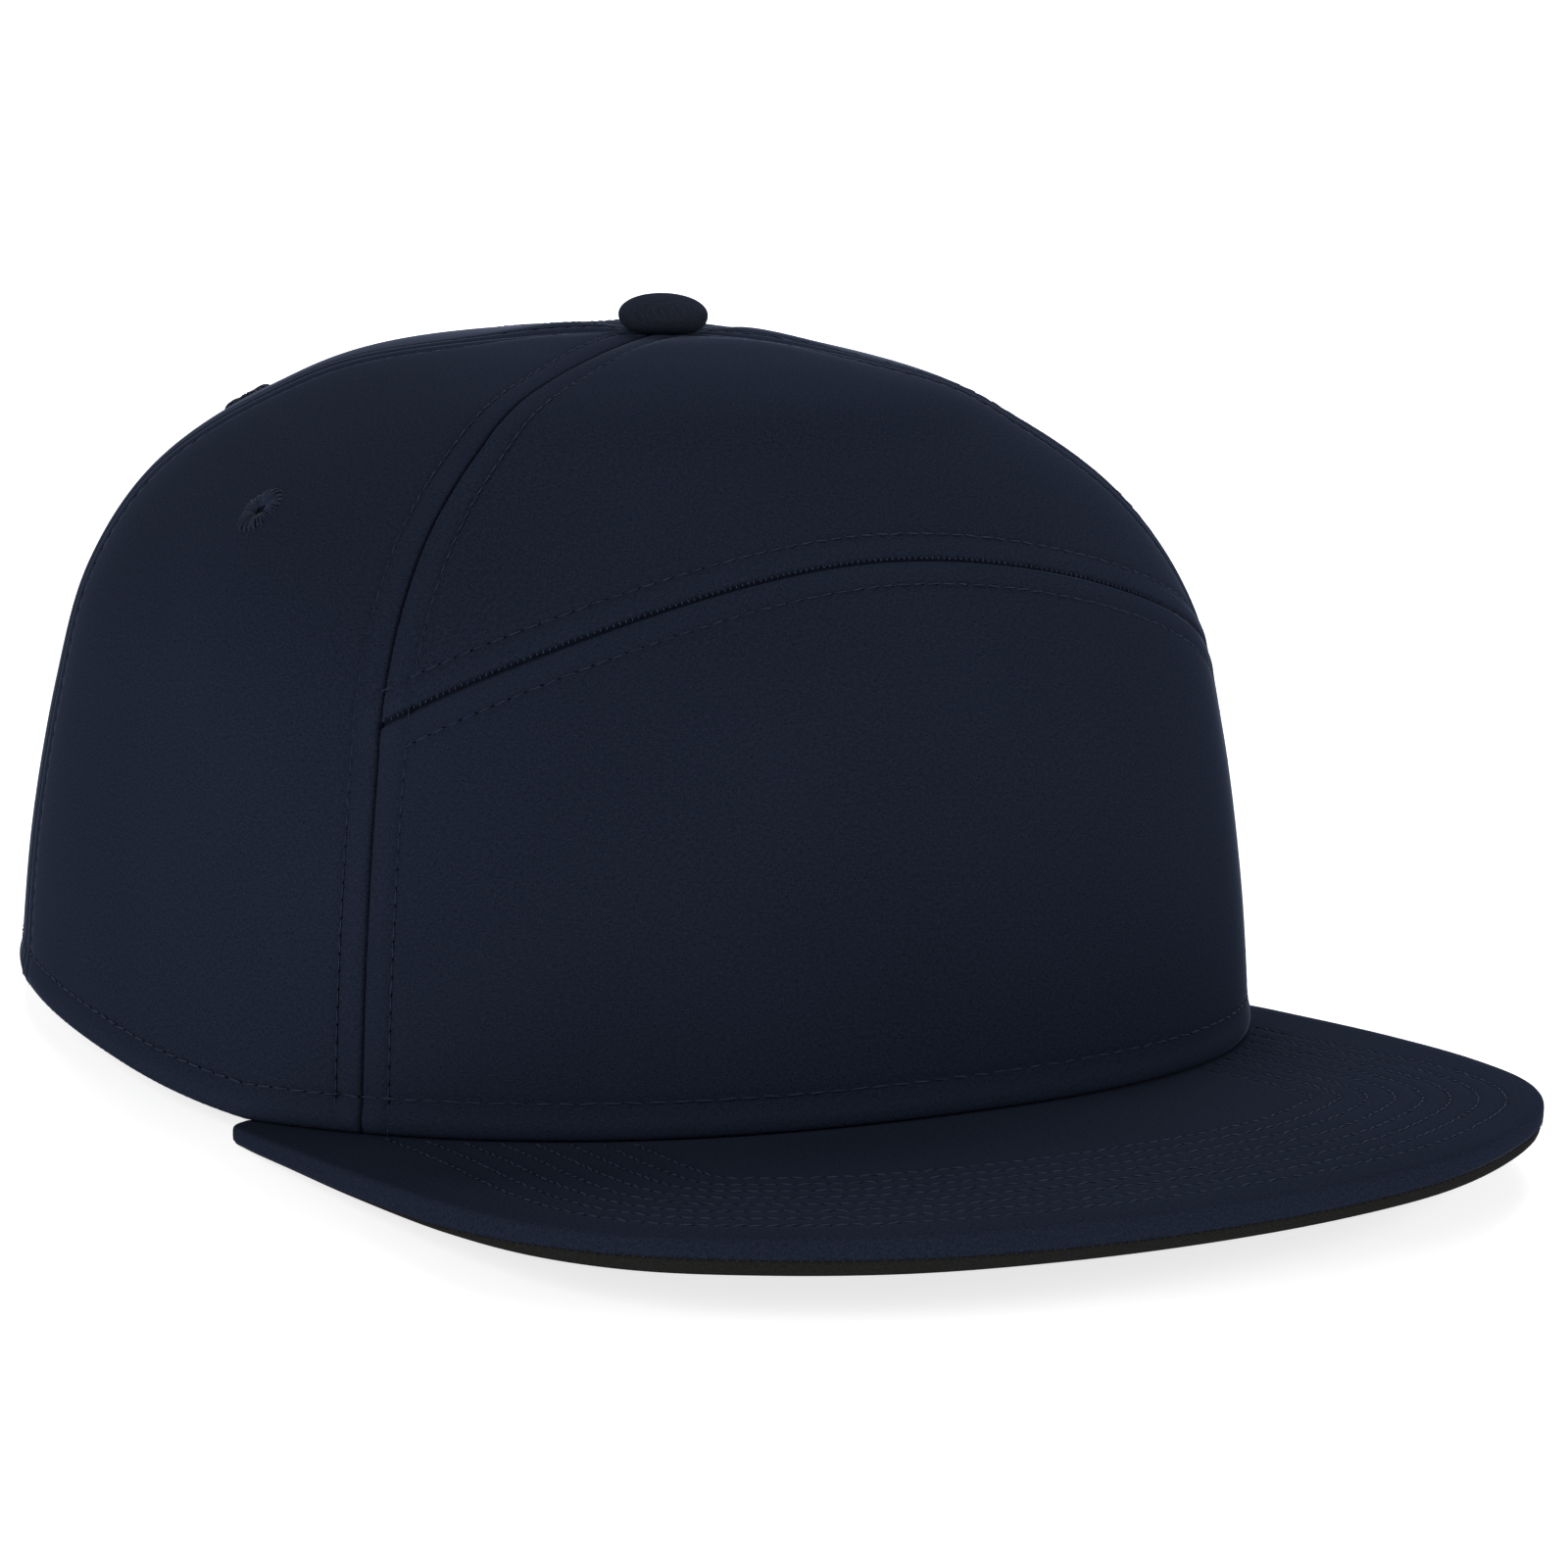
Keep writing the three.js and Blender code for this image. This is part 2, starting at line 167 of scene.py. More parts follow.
def brow_row(share):
    full = (1 - share**2) * (1 - BROW_FULLNESS * share**2)
    return BROW_ENDS + (BROW_MIDDLE - BROW_ENDS) * full


# The sewing lines. A line is an array of points in millimetres on the crown's outside. A row of topstitching
# runs on both sides of each seam, and above the rim and round the arched opening at the back.
SEAM_STITCH_PITCH, HEM_STITCH_PITCH = 2.4, 3.1
SEAM_ROW_AT = 4.3  # the topstitching's distance from a seam
HEM_ROW_AT = 5.0  # and from the rim and the arch
ROW_STOPS = 0.8  # how far short of a hem a row ends
ROW_POINT_STEP = 0.4
ARCH_HALF_WIDTH, ARCH_STRAIGHT, ARCH_HEIGHT = 44.0, 20.0, 58.0


def length_along(line):
    return np.concatenate([[0], np.cumsum(np.linalg.norm(np.diff(line, axis=0), axis=1))])


def resampled(line, spacing, skip=0.0):
    """The same line with a point every so often, so that a place along it is a length."""
    along = length_along(line)
    marks = np.linspace(skip, along[-1], max(int((along[-1] - skip) / spacing) + 1, 2))
    return np.stack([np.interp(marks, along, line[:, k]) for k in range(line.shape[1])], -1)


class Sewing:
    """Lines that points are measured from: how far off the nearest one is, and how far along it that is."""

    SPACING = 0.15

    def __init__(self, lines):
        lines = [resampled(line, self.SPACING) for line in lines]
        self.along = np.concatenate([length_along(line) for line in lines])
        points = np.concatenate(lines)
        self.tree = KDTree(len(points))
        for i, point in enumerate(points):
            self.tree.insert(point, i)
        self.tree.balance()

    def measure(self, points):
        hits = [self.tree.find(point) for point in points]
        return np.array([hit[2] for hit in hits]), self.along[[hit[1] for hit in hits]]


def crown_place_at(x, height):
    """The angle and row of the back of the crown where it stands at x and a height."""
    marks = np.linspace(0, LAST_ROW, 200)
    angle = 170.0
    for _ in range(60):
        rim = rim_height(angle)
        row = float(np.interp((height - rim) / (CROWN_HEIGHT - rim), column("up", marks), marks))
        angle = 180 - math.degrees(math.asin(min(x / float(reach(angle, row)), 1)))
    return angle, row


def arch_places():
    """The arch's edge from its foot at the rim to its top in the middle, as angles and rows."""
    rise = [(ARCH_HALF_WIDTH, height) for height in np.linspace(0.6, ARCH_STRAIGHT, 12)[:-1]]
    bend = [
        (ARCH_HALF_WIDTH * math.cos(turn), ARCH_STRAIGHT + (ARCH_HEIGHT - ARCH_STRAIGHT) * math.sin(turn))
        for turn in np.linspace(0, math.pi / 2, 30)
    ]
    return np.array([crown_place_at(x, height) for x, height in rise + bend])


def grid_faces(numbers):
    """The faces of a grid of points, as the numbers of their corners."""
    corners = [numbers[:-1, :-1], numbers[:-1, 1:], numbers[1:, 1:], numbers[1:, :-1]]
    return np.stack(corners, -1).reshape(-1, 4)


def grid_border(numbers):
    """The numbers of a grid's outermost points, once round."""
    return np.concatenate([numbers[0, :-1], numbers[:-1, -1], numbers[-1, :0:-1], numbers[:0:-1, 0]])


def crown_surface():
    angle, row = np.meshgrid(np.linspace(-182, 182, 183), np.linspace(0, BUTTON_ROW, 90))
    faces = grid_faces(np.arange(angle.size).reshape(angle.shape))
    return BVHTree.FromPolygons(crown_point(angle, row).reshape(-1, 3).tolist(), faces.tolist())


CROWN = crown_surface()


def on_crown(points):
    """The nearest places on the crown's outside, and the way out at each."""
    hits = [CROWN.find_nearest(Vector(point)) for point in points]
    return np.array([hit[0] for hit in hits]), np.array([hit[1] for hit in hits])


def beside(line, distance):
    """A line moved sideways along the cloth: to the right of its way for one who stands on the cloth."""
    tangent = unit(np.gradient(line, axis=0))
    _, outward = on_crown(line)
    return on_crown(line + unit(np.cross(tangent, outward)) * distance)[0]


def clear_of(line, others, distance):
    """The part of a line that keeps a distance from some others."""
    return line[Sewing(others).measure(line)[0] > distance]


seam_marks = np.linspace(0, BUTTON_ROW, 300)
shares = np.linspace(-1, 1, 400)
arch = arch_places()
front_seams = [crown_point(hand * seam_angle(FRONT_SEAM, seam_marks), seam_marks) for hand in (-1, 1)]
rear_seams = [crown_point(hand * seam_angle(REAR_SEAM, seam_marks), seam_marks) for hand in (-1, 1)]
brow_seam = crown_point(shares * seam_angle(FRONT_SEAM, brow_row(shares)), brow_row(shares))
middle_rows = np.linspace(arch[-1, 1], BUTTON_ROW, 200)
back_seam = crown_point(180 + 0 * middle_rows, middle_rows)
rim_line = crown_point(np.linspace(-arch[0, 0], arch[0, 0], 900), 0.0)
arch_halves = [crown_point(hand * arch[:, 0], arch[:, 1]) for hand in (1, -1)]
arch_edge = np.concatenate([arch_halves[0], arch_halves[1][-2::-1]])
upright_seams = Sewing([*front_seams, *rear_seams, back_seam])
brow = Sewing([brow_seam])
hems = Sewing([rim_line, arch_edge])
seam_rows = [
    clear_of(beside(seam, sign * SEAM_ROW_AT), [rim_line], ROW_STOPS)
    for seam in front_seams + rear_seams
    for sign in (-1, 1)
]
seam_rows += [clear_of(beside(back_seam, sign * SEAM_ROW_AT), [arch_edge], ROW_STOPS) for sign in (-1, 1)]
seam_rows += [
    clear_of(beside(brow_seam, -SEAM_ROW_AT), front_seams, ROW_STOPS),
    clear_of(beside(brow_seam, SEAM_ROW_AT), front_seams, SEAM_ROW_AT),
]
hem_rows = [
    clear_of(beside(rim_line, -HEM_ROW_AT), [arch_edge], ROW_STOPS),
    clear_of(beside(arch_edge, -HEM_ROW_AT), [rim_line], ROW_STOPS),
]
seam_sewing, hem_sewing = Sewing(seam_rows), Sewing(hem_rows)

# The relief of the sewing. The cloth turns down into each seam, stands a little full beside it, and is drawn
# in along the rows of stitches, most where the needle went in. The seam over the brow is a wider groove.
FOLD_DEPTH, FOLD_WIDTH = 0.75, 0.17
BROW_DEPTH, BROW_WIDTH = 0.85, 0.42
PUFF, PUFF_AT, PUFF_WIDTH = 0.12, 2.0, 1.3
HEM_DEPTH, HEM_WIDTH, HEM_PUFF = 0.5, 0.3, 0.28
FULLNESS, FULL_AT, FULL_OVER, FULL_WIDTH = 0.9, 16.0, 10.5, 4.5  # each panel swells a little near the button
CHANNEL_DEPTH, DIMPLE_DEPTH, CHANNEL_WIDTH = 0.10, 0.12, 0.6
SLACK, SLACK_WAVES = 0.14, (13, 17, 19)  # slow waves in x, y and z: depth, and wavelengths over two pi


def bell(distance, centre, width):
    return np.exp(-(((distance - centre) / width) ** 2))


def row_relief(distance, along, pitch, strength=1.0):
    needle = 0.5 - 0.5 * np.cos(2 * np.pi * along / pitch)
    return -strength * (CHANNEL_DEPTH + DIMPLE_DEPTH * needle) * bell(distance, 0, CHANNEL_WIDTH)


def fold_relief(distance, depth, width, puff):
    return puff * bell(distance, PUFF_AT, PUFF_WIDTH) - depth * np.exp(-distance / width)


def fullness(points, from_seam):
    from_button = np.hypot(points[:, 0], points[:, 1] - BUTTON_Y)
    return FULLNESS * (1 - bell(from_seam, 0, FULL_WIDTH)) * bell(from_button, FULL_AT, FULL_OVER)


def slack(points):
    across, deep, high = np.moveaxis(points / SLACK_WAVES, -1, 0)
    return SLACK * np.sin(across + high) * np.sin(deep - 1)


def sewn_relief(points):
    places = points.reshape(-1, 3)
    from_brow, _ = brow.measure(places)
    from_seam, _ = upright_seams.measure(places)
    relief = fold_relief(from_seam, FOLD_DEPTH, FOLD_WIDTH, PUFF) + fullness(places, from_seam)
    relief += PUFF * bell(from_brow, PUFF_AT, PUFF_WIDTH)
    relief -= BROW_DEPTH * np.exp(-((from_brow / BROW_WIDTH) ** 3))
    relief += fold_relief(hems.measure(places)[0], HEM_DEPTH, HEM_WIDTH, HEM_PUFF)
    relief += row_relief(*seam_sewing.measure(places), SEAM_STITCH_PITCH)
    relief += row_relief(*hem_sewing.measure(places), HEM_STITCH_PITCH)
    return relief.reshape(points.shape[:2])


# A cloth wall is made from two grids of points. They are close together beside the borders, where the cloth
# turns in, and the inner face is joined to the outer one at every other point.
EDGE_STEPS = (0.0, 0.1, 0.22, 0.38, 0.6, 0.9, 1.3, 1.8, 2.3, 2.8, 3.3, 3.7, 4.1, 4.5, 4.9, 5.4, 6.0)
PLAIN_STEP = 0.85


def graded(length):
    """Shares from 0 to 1 along a length, close together near both ends, in an even number of steps."""
    band = np.array(EDGE_STEPS) * min(1.0, length / 3 / EDGE_STEPS[-1])
    plain_count = 2 * max(round((length - 2 * band[-1]) / PLAIN_STEP / 2), 1)
    plain = np.linspace(band[-1], length - band[-1], plain_count + 1)
    return np.concatenate([band[:-1], plain, (length - band[::-1])[1:]]) / length


def sheet_mesh(name, outer, inner, flat_uv, relief):
    rows, cols = outer.shape[:2]
    coarse = inner[::2, ::2]
    points = np.concatenate([outer.reshape(-1, 3), coarse.reshape(-1, 3)]) * MM
    out = np.arange(rows * cols).reshape(rows, cols)
    back = rows * cols + np.arange(coarse.shape[0] * coarse.shape[1]).reshape(coarse.shape[:2])
    faces = grid_faces(out).tolist() + grid_faces(back)[:, [0, 3, 2, 1]].tolist()
    border, back_border = grid_border(out), grid_border(back)
    for k, corner in enumerate(back_border):
        one, two, three = border[[2 * k, 2 * k + 1, (2 * k + 2) % len(border)]]
        faces.append([corner, back_border[(k + 1) % len(back_border)], three, two, one])
    mesh = bpy.data.meshes.new(name)
    mesh.from_pydata(points.tolist(), [], faces)
    uv = np.concatenate([flat_uv.reshape(-1, 2), flat_uv[::2, ::2].reshape(-1, 2)]) * MM
    depth = np.concatenate([relief.reshape(-1), relief[::2, ::2].reshape(-1)])
    corners = np.empty(len(mesh.loops), int)
    mesh.loops.foreach_get("vertex_index", corners)
    mesh.uv_layers.new(name="cloth").data.foreach_set("uv", uv[corners].reshape(-1))
    # The relief is kept on the mesh for the twill, which paints shade and highlight from it.
    mesh.attributes.new("relief", "FLOAT", "POINT").data.foreach_set("value", depth)
    mesh.shade_smooth()
    return mesh


def new_object(name, data):
    made = bpy.data.objects.new(name, data)
    bpy.context.collection.objects.link(made)
    return made


def placed(name, mesh, material):
    mesh.materials.append(material)
    return new_object(name, mesh)


def cloth_panel(name, low, high, material):
    """A crown panel between its lower and upper borders, each a function from a share across to a place."""
    middle = np.full(60, 0.5)
    ups = np.linspace(0, 1, 60)[:, None]
    centre_line = (1 - ups) * np.stack(low(middle), -1) + ups * np.stack(high(middle), -1)
    across_length = length_along(crown_point(*low(np.linspace(0, 1, 60))))[-1]
    up_length = length_along(crown_point(*centre_line.T))[-1]
    across, up = np.meshgrid(graded(across_length), graded(up_length))
    angle, row = ((1 - up) * a + up * b for a, b in zip(low(across), high(across)))
    points, normals = crown_point(angle, row), crown_normal(angle, row)
    relief = sewn_relief(points)
    outer = points + normals * (relief + slack(points))[..., None]
    inner = points - normals * WALL
    sewn_down = (row < 1e-6) & (np.abs(angle) <= CORNER_ANGLE)
    bill_below = bill_top_height(inner[..., 1] - SHIFT_Y) - RIM_PRESS
    inner[..., 2] = np.where(sewn_down, bill_below, inner[..., 2])
    centre = angle[:, [angle.shape[1] // 2]]
    heights = length_along(points[:, points.shape[1] // 2])[:, None]
    flat_uv = np.stack([np.radians(angle - centre) * reach(angle, row), heights + 0 * angle], -1)
    return placed(name, sheet_mesh(name, outer, inner, flat_uv, relief), material)


def new_node(tree, kind, settings, inputs):
    """A node with its settings, then its inputs: each a value, or a socket that it is linked from."""
    node = tree.nodes.new(kind)
    for key, value in (settings or {}).items():
        setattr(node, key, value)
    for key, value in (inputs or {}).items():
        value = value.socket if isinstance(value, Wire) else value
        if isinstance(value, bpy.types.NodeSocket):
            tree.links.new(value, node.inputs[key])
        else:
            node.inputs[key].default_value = value
    return node


class Wire:
    """A value in a material: arithmetic on it adds Math nodes."""

    def __init__(self, paint, socket):
        self.paint, self.socket = paint, socket

    def __add__(self, other):
        return self.paint.math("ADD", self, other)

    def __radd__(self, other):
        return self.paint.math("ADD", other, self)

    def __sub__(self, other):
        return self.paint.math("SUBTRACT", self, other)

    def __rsub__(self, other):
        return self.paint.math("SUBTRACT", other, self)

    def __mul__(self, other):
        return self.paint.math("MULTIPLY", self, other)

    def __rmul__(self, other):
        return self.paint.math("MULTIPLY", other, self)

    def __truediv__(self, other):
        return self.paint.math("DIVIDE", self, other)

    def sine(self):
        return self.paint.math("SINE", self)

    def clamped(self, low=0.0, high=1.0):
        return self.paint.math("MINIMUM", self.paint.math("MAXIMUM", self, low), high)


class Paint:
    """A material and its nodes. add makes any node, and gives one of its outputs."""

    def __init__(self, name):
        self.material = bpy.data.materials.new(name)
        self.material.use_nodes = True
        self.tree = self.material.node_tree
        self.tree.nodes.clear()

    def add(self, kind, settings=None, values=None, output=0):
        return Wire(self, new_node(self.tree, kind, settings, values).outputs[output])

    def math(self, operation, *values):
        return self.add("ShaderNodeMath", {"operation": operation}, dict(enumerate(values)))

    def blend(self, factor, *colours):
        one, other = (colour if isinstance(colour, Wire) else (*colour, 1.0) for colour in colours)
        kinds = {"data_type": "RGBA", "clamp_factor": True}
        return self.add("ShaderNodeMix", kinds, {0: factor, 6: one, 7: other}, output=2)

    def stretched(self, vector, amounts):
        return self.add("ShaderNodeVectorMath", {"operation": "MULTIPLY"}, {0: vector, 1: amounts})

    def noise(self, place, grains):
        """Noise with so many grains to the metre, a number for each way."""
        values = {"Vector": self.stretched(place, grains), "Scale": 1.0, "Detail": 2.0}
        return self.add("ShaderNodeTexNoise", values=values)

    def split(self, vector):
        node = self.add("ShaderNodeSeparateXYZ", values={"Vector": vector}).socket.node
        return [Wire(self, socket) for socket in node.outputs]

    def finish(self, colour, roughness, height, bump_depth, fixed):
        bump = self.add("ShaderNodeBump", values={"Height": height, "Distance": bump_depth, "Strength": 1.0})
        values = {"Base Color": colour, "Roughness": roughness, "Normal": bump, **fixed}
        shader = self.add("ShaderNodeBsdfPrincipled", values=values)
        new_node(self.tree, "ShaderNodeOutputMaterial", None, {"Surface": shader})
        return self.material


TO_MM = (1000.0, 1000.0, 1000.0)
TWILL_PITCH = 0.5  # one diagonal rib, in millimetres
RIB_ACROSS, RIB_UP, RIB_STRAY = 0.41, 0.91, 0.1  # the ribs' slant, and how far the threads bend them
SLUB, CROSS_SLUB = (1300.0, 4200.0, 1.0), (4200.0, 1700.0, 1.0)  # threads of uneven thickness, each way
FUZZ, CLOUD = (3600.0, 3600.0, 1.0), (24.0, 24.0, 24.0)  # the nap, and broad uneven shades
PALE_SHARE, RELIEF_SHADING, RELIEF_LIMIT = 0.45, 0.5, 0.45  # the pale colour's share, and the painted shade and highlight from the relief: darker in grooves and dimples, paler on raised cloth up to a limit
NAVY_DARK, NAVY_LIGHT = (0.0059, 0.0080, 0.0148), (0.0166, 0.0223, 0.0398)
PAINTED_SHEEN_COLOUR, SHEEN_BAND_POWER = (0.110, 0.130, 0.190), 17.0  # painted sheen: the paler colour where the back-lit nap is seen edge-on, and how narrow that band is
NAP_SHEEN, SHEEN_TINT = 0.012, (0.62, 0.75, 1.0, 1.0)


def twill(name, dark, light, edge_sheen=1.0):
    """Fine twill: faint diagonal ribs, threads of uneven thickness, painted shade and highlight from the
    relief, and a painted sheen that makes the cloth paler edge-on.
    """
    paint = Paint(name)
    uv = paint.add("ShaderNodeUVMap", {"uv_map": "cloth"})
    across, up, _ = paint.split(paint.stretched(uv, TO_MM))
    slub, cross_slub, cloud, fuzz = (paint.noise(uv, grains) for grains in (SLUB, CROSS_SLUB, CLOUD, FUZZ))
    slant = RIB_ACROSS * across + RIB_UP * up + RIB_STRAY * slub
    rib = 0.5 + 0.5 * (slant * (2 * math.pi / TWILL_PITCH)).sine()
    weave = 0.05 * rib + 0.8 * slub + 0.7 * cross_slub
    relief = paint.add("ShaderNodeAttribute", {"attribute_name": "relief"}, output=2)
    relief = relief.clamped(-1.0, RELIEF_LIMIT)
    threads = 0.9 * (slub - 0.5) + 0.9 * (cross_slub - 0.5) + 1.0 * (fuzz - 0.5)
    # Random tone, with painted shade in the grooves and painted highlight where the cloth stands up.
    tone_and_relief_shade = PALE_SHARE + 0.25 * (cloud - 0.5) + threads + 0.02 * (rib - 0.5) + relief * RELIEF_SHADING
    # Painted sheen: the colour turns paler where the cloth is seen edge-on, as back-lit nap looks.
    edge_on = paint.add("ShaderNodeLayerWeight", values={"Blend": 0.5}, output=1)
    colour = paint.blend(tone_and_relief_shade.clamped(), dark, light)
    colour = paint.blend(edge_sheen * paint.math("POWER", edge_on, SHEEN_BAND_POWER), colour, PAINTED_SHEEN_COLOUR)
    roughness = 0.78 + 0.16 * fuzz
    sheen = {"Sheen Weight": NAP_SHEEN * edge_sheen, "Sheen Roughness": 0.4, "Sheen Tint": SHEEN_TINT}
    return paint.finish(colour, roughness, weave + 0.5 * fuzz, 0.00003, {"Specular IOR Level": 0.0, **sheen})


# The crown's twill, with the full painted sheen edge-on.
navy_twill = twill("navy twill", NAVY_DARK, NAVY_LIGHT)


def front_border(row_of):
    """A border of the front, from seam to seam. row_of gives its row from the share to either side."""

    def border(across):
        row = row_of(2 * across - 1)
        return (2 * across - 1) * seam_angle(FRONT_SEAM, row), row + 0 * across

    return border


front_panel = cloth_panel(
    "front_panel_cloth", front_border(lambda share: 0.0), front_border(brow_row), navy_twill
)
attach(front_panel, "root")
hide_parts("front_panel")

# The insert over the brow: the same twill, cut as a low triangle from the arched seam up to the button, and
# sewn to the lower panel along the arch.
upper_front = cloth_panel(
    "upper_front_panel_cloth", front_border(brow_row), front_border(lambda share: BUTTON_ROW), navy_twill
)
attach(upper_front, "root")
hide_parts("upper_front_panel")

# The side panels, one large piece of unlined twill each, from the front seam round to the rear seam, with a
# round hole worked for the vent.
EYELET_PLACES = {"side": (82.7, 4.11), "back": (139.0, 4.77)}
HOLE_RADIUS, HOLE_SIDES, HOLE_DEPTH = 2.2, 24, 12.0


def facing(place, outward):
    """A matrix for a place in millimetres, with Z along the way out."""
    turned = Vector(outward.tolist()).to_track_quat("Z", "Y").to_matrix().to_4x4()
    return Matrix.Translation(Vector((place * MM).tolist())) @ turned


def eyelet_matrix(angle, row):
    """The middle of the cloth at an eyelet."""
    outward = crown_normal(angle, row)
    return facing(crown_point(angle, row) - outward * WALL / 2, outward)


def mesh_from(name, shape):
    mesh = bpy.data.meshes.new(name)
    shape.to_mesh(mesh)
    shape.free()
    return mesh


def result_mesh(piece):
    """What an object's modifiers make of it, as a plain mesh."""
    return bpy.data.meshes.new_from_object(piece.evaluated_get(bpy.context.evaluated_depsgraph_get()))


def punch_hole(piece, matrix):
    """Cuts a round hole through a panel or a strap."""
    shape = bmesh.new()
    radius = HOLE_RADIUS * MM
    rod = {"segments": HOLE_SIDES, "radius1": radius, "radius2": radius, "depth": HOLE_DEPTH * MM}
    bmesh.ops.create_cone(shape, cap_ends=True, matrix=matrix, **rod)
    punch = new_object("punch", mesh_from("punch", shape))
    cut = piece.modifiers.new("hole", "BOOLEAN")
    cut.operation = "DIFFERENCE"
    cut.object = punch
    cut.solver = "EXACT"
    piece.data = result_mesh(piece)
    piece.modifiers.clear()
    bpy.data.objects.remove(punch)


def handed(border, hand):
    """A border of a left-hand panel, or the same one on the right."""

    def place(across):
        angle, row = border(across if hand > 0 else 1 - across)
        return hand * angle, row

    return place


def side_border(row):
    near, far = seam_angle(FRONT_SEAM, row), seam_angle(REAR_SEAM, row)
    return lambda across: (near + (far - near) * across, row + 0 * across)


HANDS = {"right": -1, "left": 1}
for side, hand in HANDS.items():
    low, high = handed(side_border(0.0), hand), handed(side_border(BUTTON_ROW), hand)
    panel = cloth_panel(f"side_panel_{side}_cloth", low, high, navy_twill)
    angle, row = EYELET_PLACES["side"]
    punch_hole(panel, eyelet_matrix(hand * angle, row))
    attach(panel, "root")
    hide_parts(f"side_panel_{side}")

# The two back panels, twill like the sides, joined up the middle of the back. Each has half of the arched
# opening over the closure, its edge folded in and stitched round.
RIM_SHARE = 0.45  # the share of a back panel's lower border that runs along the rim
FOOT_SHARE = 0.36  # from here to there it climbs to the arch's foot


def back_low(across):
    """The lower border: along the rim from the rear seam to the arch's foot, then up the arch."""
    marks = np.linspace(RIM_SHARE, 1, len(arch))
    rim_angle = REAR_SEAM[0] + (arch[0, 0] - REAR_SEAM[0]) * across / RIM_SHARE
    angle = np.where(across > RIM_SHARE, np.interp(across, marks, arch[:, 0]), rim_angle)
    rim_row = arch[0, 1] * ease(FOOT_SHARE, RIM_SHARE, across)
    row = np.where(across > RIM_SHARE, np.interp(across, marks, arch[:, 1]), rim_row)
    return angle, row


def back_high(across):
    near = seam_angle(REAR_SEAM, BUTTON_ROW)
    return near + (180 - near) * across, BUTTON_ROW + 0 * across


for side, hand in HANDS.items():
    low, high = handed(back_low, hand), handed(back_high, hand)
    panel = cloth_panel(f"back_panel_{side}_cloth", low, high, navy_twill)
    angle, row = EYELET_PLACES["back"]
    punch_hole(panel, eyelet_matrix(hand * angle, row))
    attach(panel, "root")
    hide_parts(f"back_panel_{side}")

# The crown's topstitching: navy thread a shade paler than the cloth, in rows beside each seam and round the
# rim and the arch. Each stitch is a short length of thread that dives into a needle hole at both ends.
STITCH_THICKNESS, STITCH_TILT, STITCH_SEED = 0.23, 0.10, 3
STITCH_SHARE, HOLE_SHARE = 0.90, 0.24  # of the pitch
HEM_STITCH_THICKNESS, HOLE_THICKNESS = 0.32, 0.27
STITCH_LIFT, HOLE_LIFT = 0.02, -0.05


def thread_material(name, colour, ply_pitch=0.35):
    """Twisted polyester thread: fine slanting plies and a soft gloss."""
    paint = Paint(name)
    place = paint.add("ShaderNodeTexCoord", output=3)
    x, y, z = paint.split(paint.stretched(place, TO_MM))
    ply = 0.5 + 0.5 * ((x + y * 0.7 + z * 1.3) * (2 * math.pi / ply_pitch)).sine()
    uneven = paint.noise(place, (420.0, 420.0, 420.0))
    dark = tuple(0.5 * channel for channel in colour)
    shade = paint.blend((0.3 * ply + 1.6 * (uneven - 0.5) + 0.4).clamped(), dark, colour)
    return paint.finish(shade, 0.6 + 0.15 * ply, ply, 0.00003, {"Specular IOR Level": 0.04})


def dull_material(name, colour):
    """Painted shade: the dark inside of a needle hole, on a small bead sunk in the cloth."""
    paint = Paint(name)
    place = paint.add("ShaderNodeTexCoord", output=3)
    uneven = paint.noise(place, (900.0, 900.0, 900.0))
    dark = tuple(0.5 * channel for channel in colour)
    shade = paint.blend(uneven, dark, colour)
    return paint.finish(shade, 0.9 + 0.05 * uneven, uneven, 0.00002, {"Specular IOR Level": 0.0})


class Grower:
    """A Geometry Nodes tree with named inputs. node makes any node, and gives all its outputs."""

    def __init__(self, name, lengths, counts=()):
        self.tree = bpy.data.node_groups.new(name, "GeometryNodeTree")
        socket = self.tree.interface.new_socket
        socket("Geometry", in_out="INPUT", socket_type="NodeSocketGeometry")
        for label in lengths:
            socket(label, in_out="INPUT", socket_type="NodeSocketFloat")
        for label in counts:
            socket(label, in_out="INPUT", socket_type="NodeSocketInt")
        socket("Geometry", in_out="OUTPUT", socket_type="NodeSocketGeometry")
        self.given = self.tree.nodes.new("NodeGroupInput").outputs

    def node(self, kind, settings=None, inputs=None):
        return new_node(self.tree, kind, settings, inputs).outputs

    def close(self, geometry, material):
        """Turns what was grown into plain smooth mesh of one material, as the tree's result."""
        solid = self.node("GeometryNodeRealizeInstances", inputs={"Geometry": geometry})[0]
        smooth = self.node("GeometryNodeSetShadeSmooth", inputs={"Geometry": solid})[0]
        coated = self.node("GeometryNodeSetMaterial", inputs={"Geometry": smooth, "Material": material})[0]
        self.node("NodeGroupOutput", inputs={"Geometry": coated})
        return self.tree


